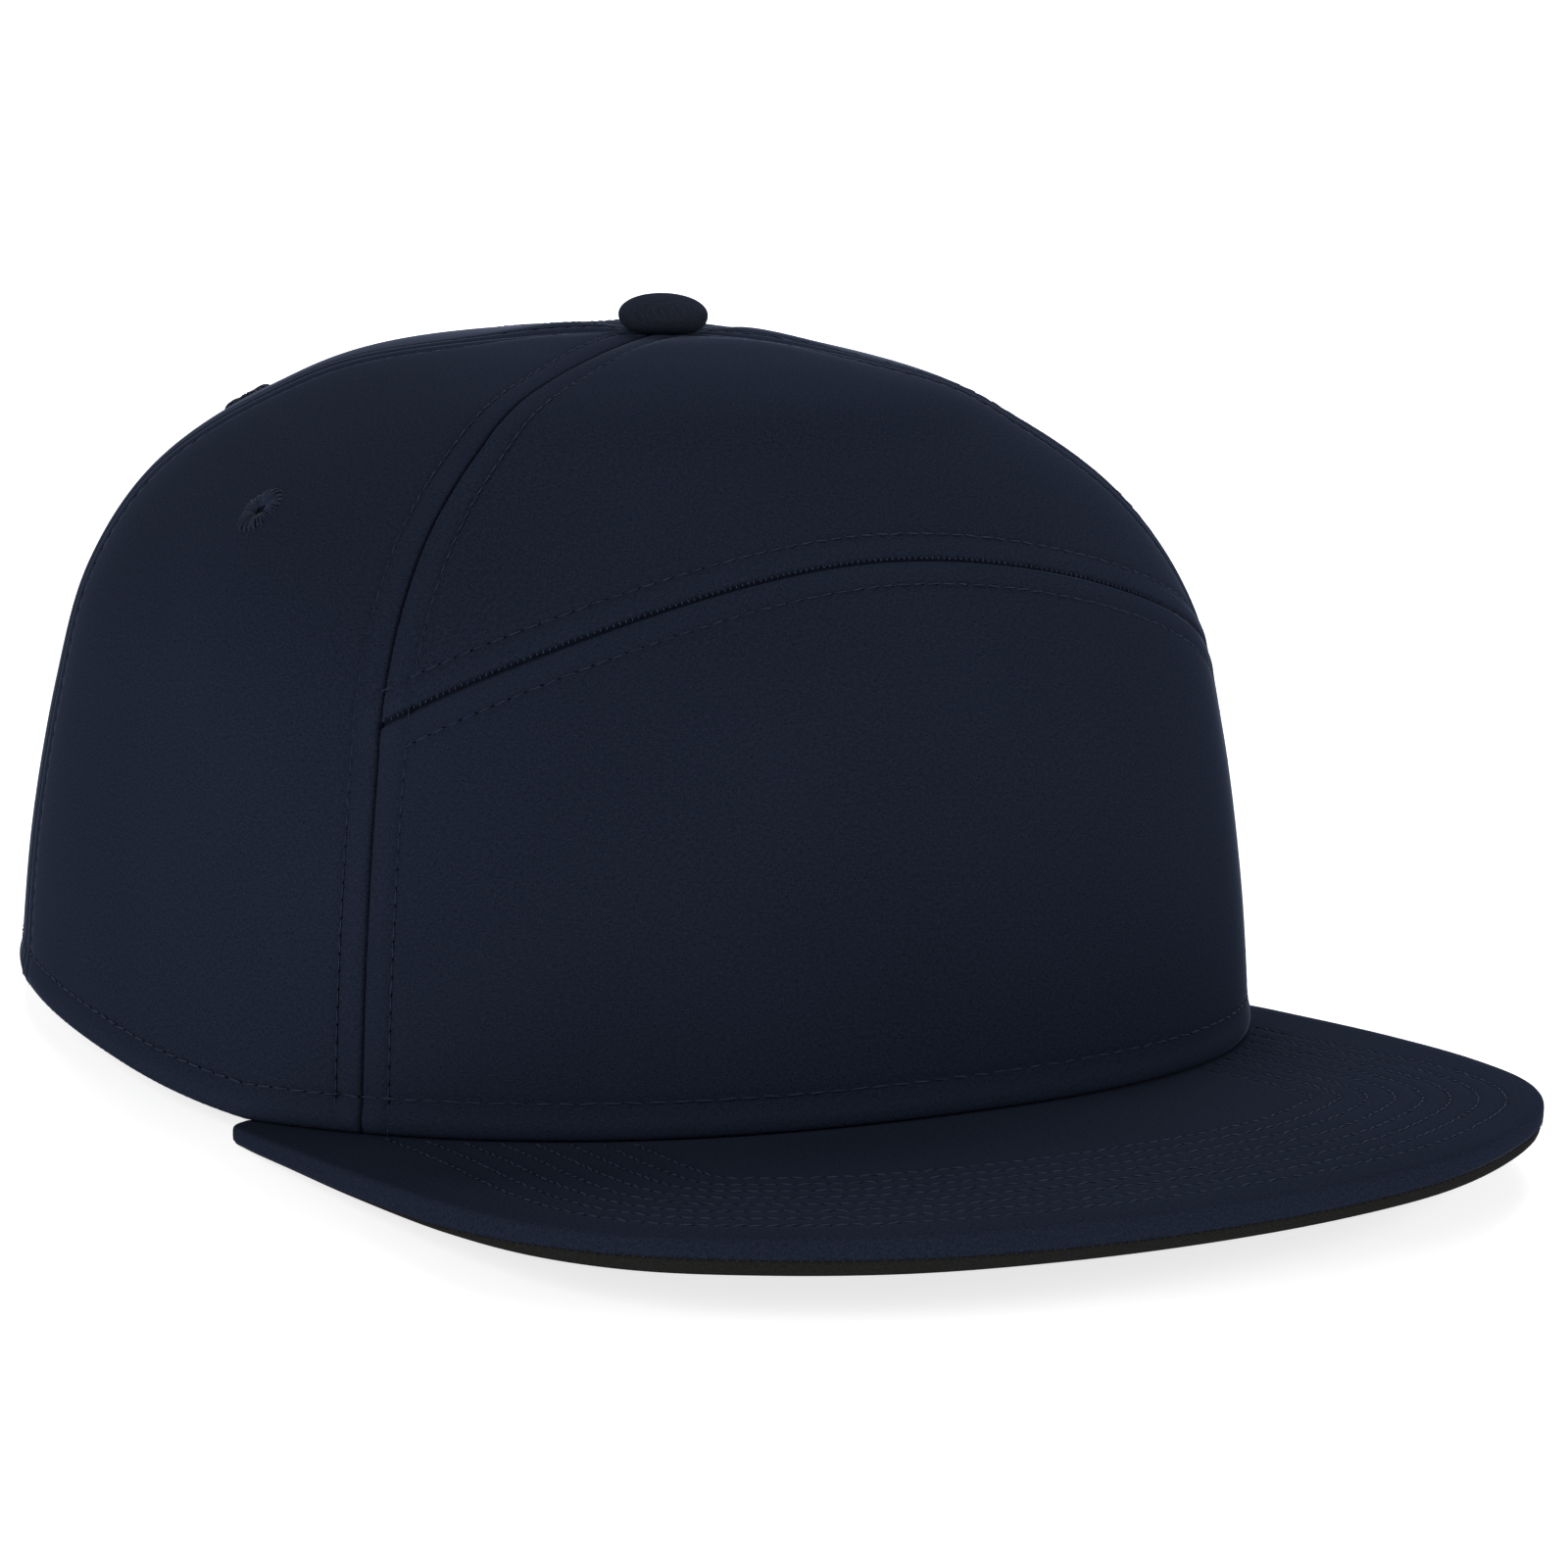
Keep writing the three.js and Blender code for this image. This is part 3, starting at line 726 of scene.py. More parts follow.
def stitch_tree(name, material, sides=6, rings=5):
    """A bead of thread at every step along a mesh's edges, each leaning a little its own way."""
    grower = Grower(name, ("Pitch", "Length", "Thickness", "Tilt"), ("Seed",))
    node, given = grower.node, grower.given
    curve = node("GeometryNodeMeshToCurve", inputs={"Mesh": given["Geometry"]})[0]
    steps = {"Curve": curve, "Length": given["Pitch"]}
    spots = node("GeometryNodeCurveToPoints", {"mode": "LENGTH"}, steps)
    bead = node("GeometryNodeMeshUVSphere", inputs={"Segments": sides, "Rings": rings, "Radius": 0.5})[0]
    thickness = given["Thickness"]
    size = node("ShaderNodeCombineXYZ", inputs={0: thickness, 1: thickness, 2: given["Length"]})[0]
    row = node(
        "GeometryNodeInstanceOnPoints",
        inputs={"Points": spots["Points"], "Instance": bead, "Rotation": spots["Rotation"], "Scale": size},
    )[0]
    other_way = node("ShaderNodeMath", {"operation": "MULTIPLY"}, {0: given["Tilt"], 1: -1.0})[0]
    least = node("ShaderNodeCombineXYZ", inputs={0: other_way, 1: other_way})[0]
    most = node("ShaderNodeCombineXYZ", inputs={0: given["Tilt"], 1: given["Tilt"]})[0]
    drawn = {0: least, 1: most, "Seed": given["Seed"]}
    lean = node("FunctionNodeRandomValue", {"data_type": "FLOAT_VECTOR"}, drawn)[0]
    leaning = node("GeometryNodeRotateInstances", inputs={"Instances": row, "Rotation": lean})[0]
    return grower.close(leaning, material)


def grown(name, tree, source, sizes):
    """What a tree makes of a mesh, as a plain mesh object. Sizes are in metres, tilts in radians."""
    maker = new_object(name + "_maker", source)
    modifier = maker.modifiers.new("grow", "NODES")
    modifier.node_group = tree
    for item in tree.interface.items_tree:
        if item.in_out == "INPUT" and item.name in sizes:
            modifier[item.identifier] = sizes[item.name]
    mesh = result_mesh(maker)
    bpy.data.objects.remove(maker)
    return new_object(name, mesh)


def bead_sizes(pitch, length, thickness, tilt, seed):
    """What a stitch tree asks for, from millimetres and radians."""
    lengths = {"Pitch": pitch * MM, "Length": length * MM, "Thickness": thickness * MM}
    return {**lengths, "Tilt": tilt, "Seed": seed}


def line_mesh(name, lines):
    points, edges = [], []
    for line in lines:
        edges += [(len(points) + k, len(points) + k + 1) for k in range(len(line) - 1)]
        points += (line * MM).tolist()
    mesh = bpy.data.meshes.new(name)
    mesh.from_pydata(points, edges, [])
    return mesh


def lifted(line, lift, skip=0.0):
    """A line on the crown raised out of the cloth, starting some way along."""
    line = resampled(line, ROW_POINT_STEP, skip)
    _, outward = on_crown(line)
    return line + outward * (lift + fullness(line, upright_seams.measure(line)[0]))[:, None]


navy_thread = thread_material("navy thread", (0.0230, 0.0325, 0.0610))
# The needle holes are small dark beads sunk in the cloth between the stitches: painted shade where the thread
# goes in.
needle_shade_paint = dull_material("needle hole shade", (0.0034, 0.0043, 0.0074))
row_tree = stitch_tree("topstitch rows", navy_thread)
shade_bead_tree = stitch_tree("needle hole shade", needle_shade_paint, 5, 4)
for name, rows, pitch, thickness in (
    ("seam", seam_rows, SEAM_STITCH_PITCH, STITCH_THICKNESS),
    ("hem", hem_rows, HEM_STITCH_PITCH, HEM_STITCH_THICKNESS),
):
    marks = line_mesh(name, [lifted(line, STITCH_LIFT - CHANNEL_DEPTH) for line in rows])
    sizes = bead_sizes(pitch, STITCH_SHARE * pitch, thickness, STITCH_TILT, STITCH_SEED)
    stitches = grown(f"crown_{name}_topstitching", row_tree, marks, sizes)
    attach(stitches, "root")
    # Dark beads of painted shade at the needle holes, halfway between the stitches.
    marks = line_mesh(name, [lifted(line, HOLE_LIFT - CHANNEL_DEPTH, pitch / 2) for line in rows])
    sizes = bead_sizes(pitch, HOLE_SHARE * pitch, HOLE_THICKNESS, STITCH_TILT, STITCH_SEED)
    holes = grown(f"crown_{name}_needle_hole_shade", shade_bead_tree, marks, sizes)
    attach(holes, "root")

# The tacking in the arched seam: close short stitches of paler thread that draw the insert and the lower
# panel together, and show as fine ticks in the groove.
TACK_PITCH, TACK_LENGTH, TACK_THICKNESS, TACK_TILT, TACK_SEED = 0.92, 0.62, 0.17, 0.4, 5
TACK_DEPTH = 0.38


def tack_lines():
    """One short line across the groove for each tack."""
    marks = resampled(brow_seam, TACK_PITCH)[2:-2]
    along = unit(np.gradient(marks, axis=0))
    _, outward = on_crown(marks)
    across = np.cross(along, outward) * TACK_LENGTH / 2
    sunk = marks - outward * TACK_DEPTH
    return [np.stack([a, b]) for a, b in zip(sunk - across, sunk + across)]


pale_thread = thread_material("pale navy thread", (0.050, 0.062, 0.095))
tack_marks = line_mesh("tacks", tack_lines())
tack_sizes = bead_sizes(2 * TACK_PITCH, TACK_LENGTH, TACK_THICKNESS, TACK_TILT, TACK_SEED)
tacks = grown("brow_seam_tacks", stitch_tree("tacks", pale_thread), tack_marks, tack_sizes)
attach(tacks, "root")

# The vents: a ring of close satin stitches in navy thread, worked over the edge of each hole, outside and
# inside, so that the cut cloth doesn't fray.
EYELET_OUTER, EYELET_INNER, EYELET_THREADS = 4.05, 1.0, 42
EYELET_THREAD, EYELET_HEIGHT, EYELET_DROP = 0.40, 1.28, 0.8  # the drop is at the ends of each stitch
EYELET_RAGGED, EYELET_LUMPY, EYELET_STRAY = 0.28, 0.12, 0.25  # unevenness in length, in height and in spacing
RING_OUTER, RING_INNER, RING_SIDES, RING_BELOW = 3.4, 1.15, 40, 0.22


def satin_lines():
    """Arched threads over the ring, a little uneven as hand-guided stitches are."""
    lines = []
    for k in range(EYELET_THREADS):
        turn = 2 * math.pi * (k + EYELET_STRAY * math.sin(5.0 * k)) / EYELET_THREADS
        share = np.linspace(0, 1, 7)
        out = EYELET_INNER + (EYELET_OUTER - EYELET_INNER + EYELET_RAGGED * math.sin(3.0 * k)) * share
        rise = EYELET_HEIGHT + EYELET_LUMPY * math.sin(7.0 * k) - EYELET_DROP * np.abs(2 * share - 0.9) ** 3
        x, y = out * math.cos(turn), out * math.sin(turn)
        lines += [np.stack([x, y, face * rise], -1) for face in (1, -1)]
    return lines


def tube_tree(name, material):
    """Each line of a mesh becomes a round thread."""
    grower = Grower(name, ("Radius",))
    curve = grower.node("GeometryNodeMeshToCurve", inputs={"Mesh": grower.given["Geometry"]})[0]
    round_section = {"Resolution": 6, "Radius": grower.given["Radius"]}
    circle = grower.node("GeometryNodeCurvePrimitiveCircle", inputs=round_section)["Curve"]
    tube = {"Curve": curve, "Profile Curve": circle, "Fill Caps": True}
    return grower.close(grower.node("GeometryNodeCurveToMesh", inputs=tube)[0], material)


def add_ring(shape, inner, outer, half_height):
    """A closed ring under the threads, so that no cloth shows between them."""
    section = [(inner, -half_height), (outer, -half_height), (outer, half_height), (inner, half_height)]
    rings = [
        [shape.verts.new((r * MM * math.cos(turn), r * MM * math.sin(turn), h * MM)) for r, h in section]
        for turn in np.linspace(0, 2 * math.pi, RING_SIDES, endpoint=False)
    ]
    for one, other in zip(rings, rings[1:] + rings[:1]):
        for k in range(4):
            shape.faces.new((one[k], other[k], other[(k + 1) % 4], one[(k + 1) % 4]))


satin_thread = thread_material("satin thread", (0.0175, 0.0250, 0.0450), 0.5)
satin_tree = tube_tree("satin stitches", satin_thread)
for panel_name, (angle, row) in EYELET_PLACES.items():
    for side, hand in HANDS.items():
        threads, sizes = line_mesh("satin", satin_lines()), {"Radius": EYELET_THREAD / 2 * MM}
        eyelet = grown(f"eyelet_{panel_name}_{side}_stitched", satin_tree, threads, sizes)
        shape = bmesh.new()
        shape.from_mesh(eyelet.data)
        add_ring(shape, RING_INNER, RING_OUTER, EYELET_HEIGHT - RING_BELOW)
        bmesh.ops.recalc_face_normals(shape, faces=shape.faces)
        shape.to_mesh(eyelet.data)
        shape.free()
        eyelet.data.shade_smooth()
        eyelet.data.transform(eyelet_matrix(hand * angle, row))
        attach(eyelet, "root")
        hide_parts(f"eyelet_{panel_name}_{side}")

# The button: a metal shell covered in the crown's twill, pressed over the point where the panels meet. The
# cloth is drawn smooth over the dome and gathered under its edge.
BUTTON_RADIUS, BUTTON_HEIGHT, BUTTON_SIDES = 6.6, 5.6, 96
BUTTON_WAIST, BUTTON_FOOT = 0.44, 0.60  # the widest place's height, and the foot's radius, as shares
BUTTON_STEM, BUTTON_STEM_DEPTH = 2.3, 3.0
GATHERS, GATHER_DEPTH, GATHER_AT, GATHER_OVER = 17, 0.012, 0.4, 0.6


def button_profile():
    """Radius and height from the stem's end to the top, in millimetres."""
    stem = [(BUTTON_STEM, -BUTTON_STEM_DEPTH), (BUTTON_STEM, 0.15)]
    under = [
        (BUTTON_FOOT + (1 - BUTTON_FOOT) * math.cos(turn), BUTTON_WAIST * (1 - 0.97 * math.sin(turn)))
        for turn in np.linspace(math.pi / 2, 0, 9)
    ]
    dome = [
        (math.cos(turn) ** 0.95, BUTTON_WAIST + (1 - BUTTON_WAIST) * math.sin(turn) ** 0.97)
        for turn in np.linspace(0, math.pi / 2, 24)[1:-1]
    ]
    return stem + [(BUTTON_RADIUS * out, BUTTON_HEIGHT * up) for out, up in under + dome]


def button_mesh():
    shape = bmesh.new()
    cloth = shape.loops.layers.uv.new("cloth")
    middle = Vector((0, BUTTON_Y * MM, CROWN_HEIGHT * MM))
    turns = np.linspace(0, 2 * math.pi, BUTTON_SIDES, endpoint=False)
    rings = []
    for out, up in button_profile():
        gather = GATHER_DEPTH * float(bell(up, GATHER_AT, GATHER_OVER)) * (out > BUTTON_STEM)
        radii = out * MM * (1 + gather * np.sin(GATHERS * turns))
        ring = [middle + Vector((r * math.cos(t), r * math.sin(t), up * MM)) for r, t in zip(radii, turns)]
        rings.append([shape.verts.new(point) for point in ring])
    for low, high in zip(rings, rings[1:]):
        for k in range(BUTTON_SIDES):
            shape.faces.new((low[k - 1], low[k], high[k], high[k - 1]))
    foot = shape.verts.new(middle - Vector((0, 0, BUTTON_STEM_DEPTH * MM)))
    top = shape.verts.new(middle + Vector((0, 0, BUTTON_HEIGHT * MM)))
    for k in range(BUTTON_SIDES):
        shape.faces.new((foot, rings[0][k], rings[0][k - 1]))
        shape.faces.new((rings[-1][k - 1], rings[-1][k], top))
    for face in shape.faces:
        for loop in face.loops:
            spot = loop.vert.co - middle
            loop[cloth].uv = (spot.x + 0.3 * spot.z, spot.z - spot.y)
    mesh = mesh_from("button_cloth", shape)
    mesh.shade_smooth()
    return mesh


# Some painted sheen where the button's cloth is seen edge-on.
button_twill = twill("button twill", (0.0100, 0.0124, 0.0200), (0.0226, 0.0266, 0.0400), 0.6)
button = placed("button_cloth", button_mesh(), button_twill)
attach(button, "root")
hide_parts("button")

# The bill's upper cover: the same twill with its nap pressed flat, so with half the painted sheen edge-on,
# drawn over a flat plastic core and turned down round the edge. Eight rows of stitching draw it in. They
# follow the edge in front, and run back at the sides under the crown.
BILL_EDGE = (  # half of the edge seen from above: out to the side, and forward
    (80.6, 24.4), (83.2, 26.6), (84.0, 32.0), (84.3, 46.0), (84.4, 68.0), (82.9, 90.2), (78.9, 106.6),
    (70.8, 119.4), (58.0, 129.2), (41.5, 137.2), (21.5, 141.6), (0.0, 143.0),
)
BILL_TUCK = 0.4
COVER_ROLL = (  # in from the edge in millimetres, and share of the way down to the lower cover
    (4.4, 0.0), (3.7, 0.006), (3.0, 0.018), (2.3, 0.034), (1.7, 0.05), (1.2, 0.066), (0.85, 0.082),
    (0.55, 0.104), (0.32, 0.14), (0.15, 0.195), (0.05, 0.27), (0.0, 0.38), (0.0, 0.7), (0.05, 0.88),
    (0.3, 1.0),
)
COVER_SPLIT = (  # how far forward, and the upper cover's share of the thickness there
    (60.0, 0.88), (88.0, 0.80), (107.0, 0.62), (122.0, 0.56), (137.0, 0.61), (143.0, 0.65),
)
BILL_ROWS, BILL_ROW_SPACING, BILL_STITCH_PITCH = 8, 3.8, 2.15
FIRST_ROW_IN_FRONT, FIRST_ROW_AT_SIDES = 4.8, 12.8  # how far in from the edge the outermost row runs
FIRST_ROW_FROM, FIRST_ROW_TO = 55.0, 128.0  # and how far forward that changes
ROWS_FROM = 34.0  # the rows end under the crown, this far forward
ROW_OFF_CROWN, ROW_LEEWAY = 1.0, 0.3
BILL_ALONG_STEP, BILL_FINE_STEP, BILL_PLAIN_STEP, BILL_FINE_SHARE = 0.7, 0.6, 1.6, 0.62
BILL_ROW_STRENGTH = 0.8
HIDDEN_INSET = 0.05


def smooth_through(points, steps=40):
    """A centripetal curve through points, as a fine line."""
    points = np.concatenate([[2 * points[0] - points[1]], points, [2 * points[-1] - points[-2]]])
    line = []
    for p in (points[k : k + 4] for k in range(len(points) - 3)):
        knots = np.concatenate([[0], np.cumsum(np.linalg.norm(np.diff(p, axis=0), axis=1) ** 0.5)])
        t = np.linspace(knots[1], knots[2], steps, endpoint=False)[:, None]

        def between(one, other, i, j):
            return ((knots[j] - t) * one + (t - knots[i]) * other) / (knots[j] - knots[i])

        first, second, third = (between(p[k], p[k + 1], k, k + 1) for k in range(3))
        line.append(between(between(first, second, 0, 2), between(second, third, 1, 3), 1, 2))
    return np.concatenate([*line, points[-2:-1]])


bill_half = np.array(BILL_EDGE)
bill_outline = smooth_through(np.concatenate([bill_half * (-1, -1), (bill_half * (1, -1))[-2::-1]]))
outline_steps = 2 * round(length_along(bill_outline)[-1] / BILL_ALONG_STEP / 2)
bill_outline = resampled(bill_outline, length_along(bill_outline)[-1] / (outline_steps + 0.5))


def bill_thickness(y):
    share = beyond_corner(y) / (BILL_FRONT_FORWARD - BILL_CORNER_FORWARD)
    return BILL_CORNER_THICKNESS + (BILL_FRONT_THICKNESS - BILL_CORNER_THICKNESS) * share


def cover_depth(y):
    """How far below the bill's top the two covers meet."""
    return bill_thickness(y) * np.interp(-y, *zip(*COVER_SPLIT))


def bill_root():
    """The bill's inner border, just inside the crown's wall, one point for each point of the outline."""
    share = length_along(bill_outline) / length_along(bill_outline)[-1]
    angle = CORNER_ANGLE * (2 * share - 1)
    inside = crown_point(angle, 0.0) - crown_normal(angle, 0.0) * (WALL + BILL_TUCK)
    return np.stack([inside[:, 0], inside[:, 1] - SHIFT_Y], -1)


def flat(plan):
    """Points of a plan as points in space, to measure from."""
    return np.column_stack([plan.reshape(-1, 2), np.zeros(plan[..., 0].size)])


def inward_of(line):
    """The way in from a line that runs round the bill from the wearer's right."""
    tangent = unit(np.gradient(line, axis=0))
    return np.stack([-tangent[:, 1], tangent[:, 0]], -1)


def bill_rows():
    """The stitched rows seen from above, each offset from the first one, cut where the crown stands."""
    edge = bill_outline[-bill_outline[:, 1] > ROWS_FROM]
    to_front = ease(FIRST_ROW_FROM, FIRST_ROW_TO, -edge[:, 1])[:, None]
    inset = FIRST_ROW_AT_SIDES + (FIRST_ROW_IN_FRONT - FIRST_ROW_AT_SIDES) * to_front
    first = resampled(edge + inward_of(edge) * inset, ROW_POINT_STEP)
    lines = []
    for k in range(BILL_ROWS):
        line = first + inward_of(first) * BILL_ROW_SPACING * k
        off, _ = Sewing([flat(first)]).measure(flat(line))
        angle = np.degrees(np.arctan2(line[:, 0], AXIS_Y - line[:, 1]))
        clear = np.hypot(line[:, 0], AXIS_Y - line[:, 1]) > reach(angle, 0.0) + ROW_OFF_CROWN
        spaced = off > BILL_ROW_SPACING * k - ROW_LEEWAY
        lines.append(resampled(line[spaced & clear], ROW_POINT_STEP))
    return lines


bill_row_lines = bill_rows()
bill_sewing = Sewing([flat(line) for line in bill_row_lines])


def cover_plan(insets):
    """A cover seen from above: lines from its root out to the first inset, then one for each inset."""
    root = bill_root()
    inward = unit(root - bill_outline)
    width = np.linalg.norm(bill_outline - root, axis=1).max()
    plain_count = round((1 - BILL_FINE_SHARE) * width / BILL_PLAIN_STEP)
    fine_count = round(BILL_FINE_SHARE * width / BILL_FINE_STEP)
    fine_count += (plain_count + fine_count + len(insets) + 1) % 2  # so that the lines are odd in number
    plain = np.linspace(0, 1 - BILL_FINE_SHARE, plain_count, endpoint=False)
    fine = np.linspace(1 - BILL_FINE_SHARE, 1, fine_count, endpoint=False)
    shares = np.concatenate([plain, fine])
    face = [root + (bill_outline + inward * insets[0] - root) * share for share in shares]
    return np.stack(face + [bill_outline + inward * inset for inset in insets])


def cover_height(plan, downs, top_depth, bottom_depth):
    """Heights for a plan. The depths are below the bill's top, and downs are the shares between the two."""
    y = plan[..., 1]
    down = np.concatenate([np.full(len(plan) - len(downs), downs[0]), downs])[:, None]
    return bill_top_height(y) - (top_depth(y) + (bottom_depth(y) - top_depth(y)) * down)


def cover_sheet(name, roll, top_depth, bottom_depth, relief_of):
    """A closed cover: the face that shows, rolled round the edge, and a plain face on the other cover."""
    insets, downs = np.array(roll).T
    plan = cover_plan(insets)
    height = cover_height(plan, downs, top_depth, bottom_depth)
    relief = relief_of(plan)
    hidden_plan = cover_plan(np.linspace(insets[0], insets[-1] + HIDDEN_INSET, len(insets)))
    hidden_height = cover_height(hidden_plan, np.full(len(downs), downs[-1]), top_depth, bottom_depth)
    shown = np.stack([plan[..., 0], plan[..., 1] + SHIFT_Y, height + relief], -1)
    hidden = np.stack([hidden_plan[..., 0], hidden_plan[..., 1] + SHIFT_Y, hidden_height], -1)
    unturned = cover_height(plan, np.full(len(downs), downs[0]), top_depth, bottom_depth)
    outward = unit(bill_outline - bill_root())
    flat_uv = plan + outward * np.abs(height - unturned)[..., None]
    way = -1 if downs[-1] > downs[0] else 1  # the upper cover is laid the other way, to face up
    return sheet_mesh(name, shown[::way], hidden[::way], flat_uv[::way], relief[::way])


def bill_relief(plan):
    distance, along = bill_sewing.measure(flat(plan))
    return row_relief(distance, along, BILL_STITCH_PITCH, BILL_ROW_STRENGTH).reshape(plan.shape[:2])


bill_twill = twill("bill twill", NAVY_DARK, NAVY_LIGHT, 0.5)
top_mesh = cover_sheet("bill_top_cloth", COVER_ROLL, lambda y: 0 * y, cover_depth, bill_relief)
bill_top = placed("bill_top_cloth", top_mesh, bill_twill)
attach(bill_top, "root")
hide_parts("bill_top")

# The bill's lower cover: matt charcoal cloth, drawn up to meet the navy cover along the edge, where it shows
# as a dark band.
UNDER_ROLL = ((2.6, 1.0), (1.7, 0.97), (1.1, 0.86), (0.7, 0.68), (0.45, 0.45), (0.34, 0.2), (0.32, 0.0))
COVERS_APART = 0.05


def under_top(y):
    return cover_depth(y) + COVERS_APART


charcoal_shades = (0.0080, 0.0081, 0.0080), (0.0190, 0.0188, 0.0180)
# A little painted sheen where the charcoal cloth is seen edge-on.
charcoal_cloth = twill("charcoal cloth", *charcoal_shades, 0.3)
under_mesh = cover_sheet("bill_underside_cloth", UNDER_ROLL, under_top, bill_thickness, bill_relief)
bill_under = placed("bill_underside_cloth", under_mesh, charcoal_cloth)
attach(bill_under, "root")
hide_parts("bill_underside")

# The bill's stitching: eight rows of paler navy thread, right through both covers and the core, and the small
# tacks that hold the two covers' edges together.
BILL_STITCH_LENGTH, BILL_STITCH_THICKNESS, BILL_STITCH_TILT, BILL_STITCH_SEED = 1.7, 0.23, 0.16, 11
BILL_STITCH_LIFT = 0.05
BILL_HOLE_LENGTH, BILL_HOLE_THICKNESS = 0.26, 0.20
EDGE_TACK_LENGTH, EDGE_TACK_THICKNESS, EDGE_TACK_TILT, EDGE_TACK_SEED = 0.5, 0.13, 0.9, 7
EDGE_TACK_PITCH, EDGE_TACK_INSET = 1.3, 0.16


def on_bill(line, face, lift):
    """A line on the bill's upper face, 1, or on its lower one, -1, raised out of the cloth."""
    height = bill_top_height(line[:, 1]) - (bill_thickness(line[:, 1]) if face < 0 else 0)
    return np.column_stack([line[:, 0], line[:, 1] + SHIFT_Y, height + face * lift])


def rows_on_bill(lift, skip=0.0):
    lines = [resampled(line, ROW_POINT_STEP, skip) for line in bill_row_lines]
    above_cloth = lift - BILL_ROW_STRENGTH * CHANNEL_DEPTH
    return [on_bill(line, face, above_cloth) for face in (1, -1) for line in lines]


def edge_seam():
    """The line where the two covers meet along the edge, in front where it shows."""
    inward = unit(bill_root() - bill_outline)
    line = (bill_outline + inward * EDGE_TACK_INSET)[bill_outline[:, 1] < -COVER_SPLIT[1][0]]
    height = bill_top_height(line[:, 1]) - cover_depth(line[:, 1])
    return np.column_stack([line[:, 0], line[:, 1] + SHIFT_Y, height])


bill_thread = thread_material("bill thread", (0.0310, 0.0455, 0.0810))
edge_thread = thread_material("edge thread", (0.0280, 0.0300, 0.0330))
row_marks = line_mesh("bill rows", rows_on_bill(BILL_STITCH_LIFT))
sizes = bead_sizes(
    BILL_STITCH_PITCH, BILL_STITCH_LENGTH, BILL_STITCH_THICKNESS, BILL_STITCH_TILT, BILL_STITCH_SEED
)
bill_stitches = grown("bill_stitching", stitch_tree("bill rows", bill_thread), row_marks, sizes)
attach(bill_stitches, "root")
# Dark beads of painted shade at the needle holes, halfway between the stitches.
hole_marks = line_mesh("bill holes", rows_on_bill(HOLE_LIFT, BILL_STITCH_PITCH / 2))
sizes = bead_sizes(
    BILL_STITCH_PITCH, BILL_HOLE_LENGTH, BILL_HOLE_THICKNESS, BILL_STITCH_TILT, BILL_STITCH_SEED
)
bill_hole_shading = grown("bill_needle_hole_shade", shade_bead_tree, hole_marks, sizes)
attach(bill_hole_shading, "root")
tack_marks = line_mesh("edge seam", [edge_seam()])
sizes = bead_sizes(EDGE_TACK_PITCH, EDGE_TACK_LENGTH, EDGE_TACK_THICKNESS, EDGE_TACK_TILT, EDGE_TACK_SEED)
edge_tacks = grown("bill_edge_tacks", stitch_tree("edge tacks", edge_thread), tack_marks, sizes)
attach(edge_tacks, "root")

# The closure: two moulded plastic straps sewn inside the ends of the arch. The studs of the inner one snap
# through the holes of the outer one.
STRAP_HALF_ANGLE, STRAP_OVERLAP_ANGLE, STRAP_HEIGHT, STRAP_LAYER = 33.0, 14.0, 19.0, 0.8
STRAP_GAP = 0.3
STRAP_CORNER, STRAP_EDGE_ROUND = 5.0, 0.25
STRAP_EASE_ANGLE = 5.0  # how far past the overlap the inner strap takes to come out to the wall
STUD_PITCH_ANGLE, STUD_COUNT, OPEN_HOLES = 4.7, 6, 3
STUD_RADIUS, STUD_HEIGHT = 2.5, 0.9


def moulded(name, dark, light):
    """Semi-matt moulded plastic with a fine even grain."""
    paint = Paint(name)
    place = paint.add("ShaderNodeTexCoord", output=3)
    grain = paint.noise(place, (2600.0, 2600.0, 2600.0))
    cloud = paint.noise(place, (60.0, 60.0, 60.0))
    colour = paint.blend((0.7 * cloud + 0.3 * grain).clamped(), dark, light)
    return paint.finish(colour, 0.40 + 0.2 * grain, grain, 0.00003, {"Specular IOR Level": 0.25})


def row_at_height(height):
    marks = np.linspace(0, 3, 600)
    return float(np.interp(height / CROWN_HEIGHT, column("up", marks), marks))


def strap_place(turn, height, depth):
    """A point behind the crown's wall: an angle from straight back, a height, a depth from the wall."""
    row = row_at_height(height)
    angle = 180 + np.asarray(turn, float)
    inside = WALL + STRAP_GAP + np.asarray(depth)[..., None]
    point = crown_point(angle, row) - crown_normal(angle, row) * inside
    point[..., 2] = height
    return point


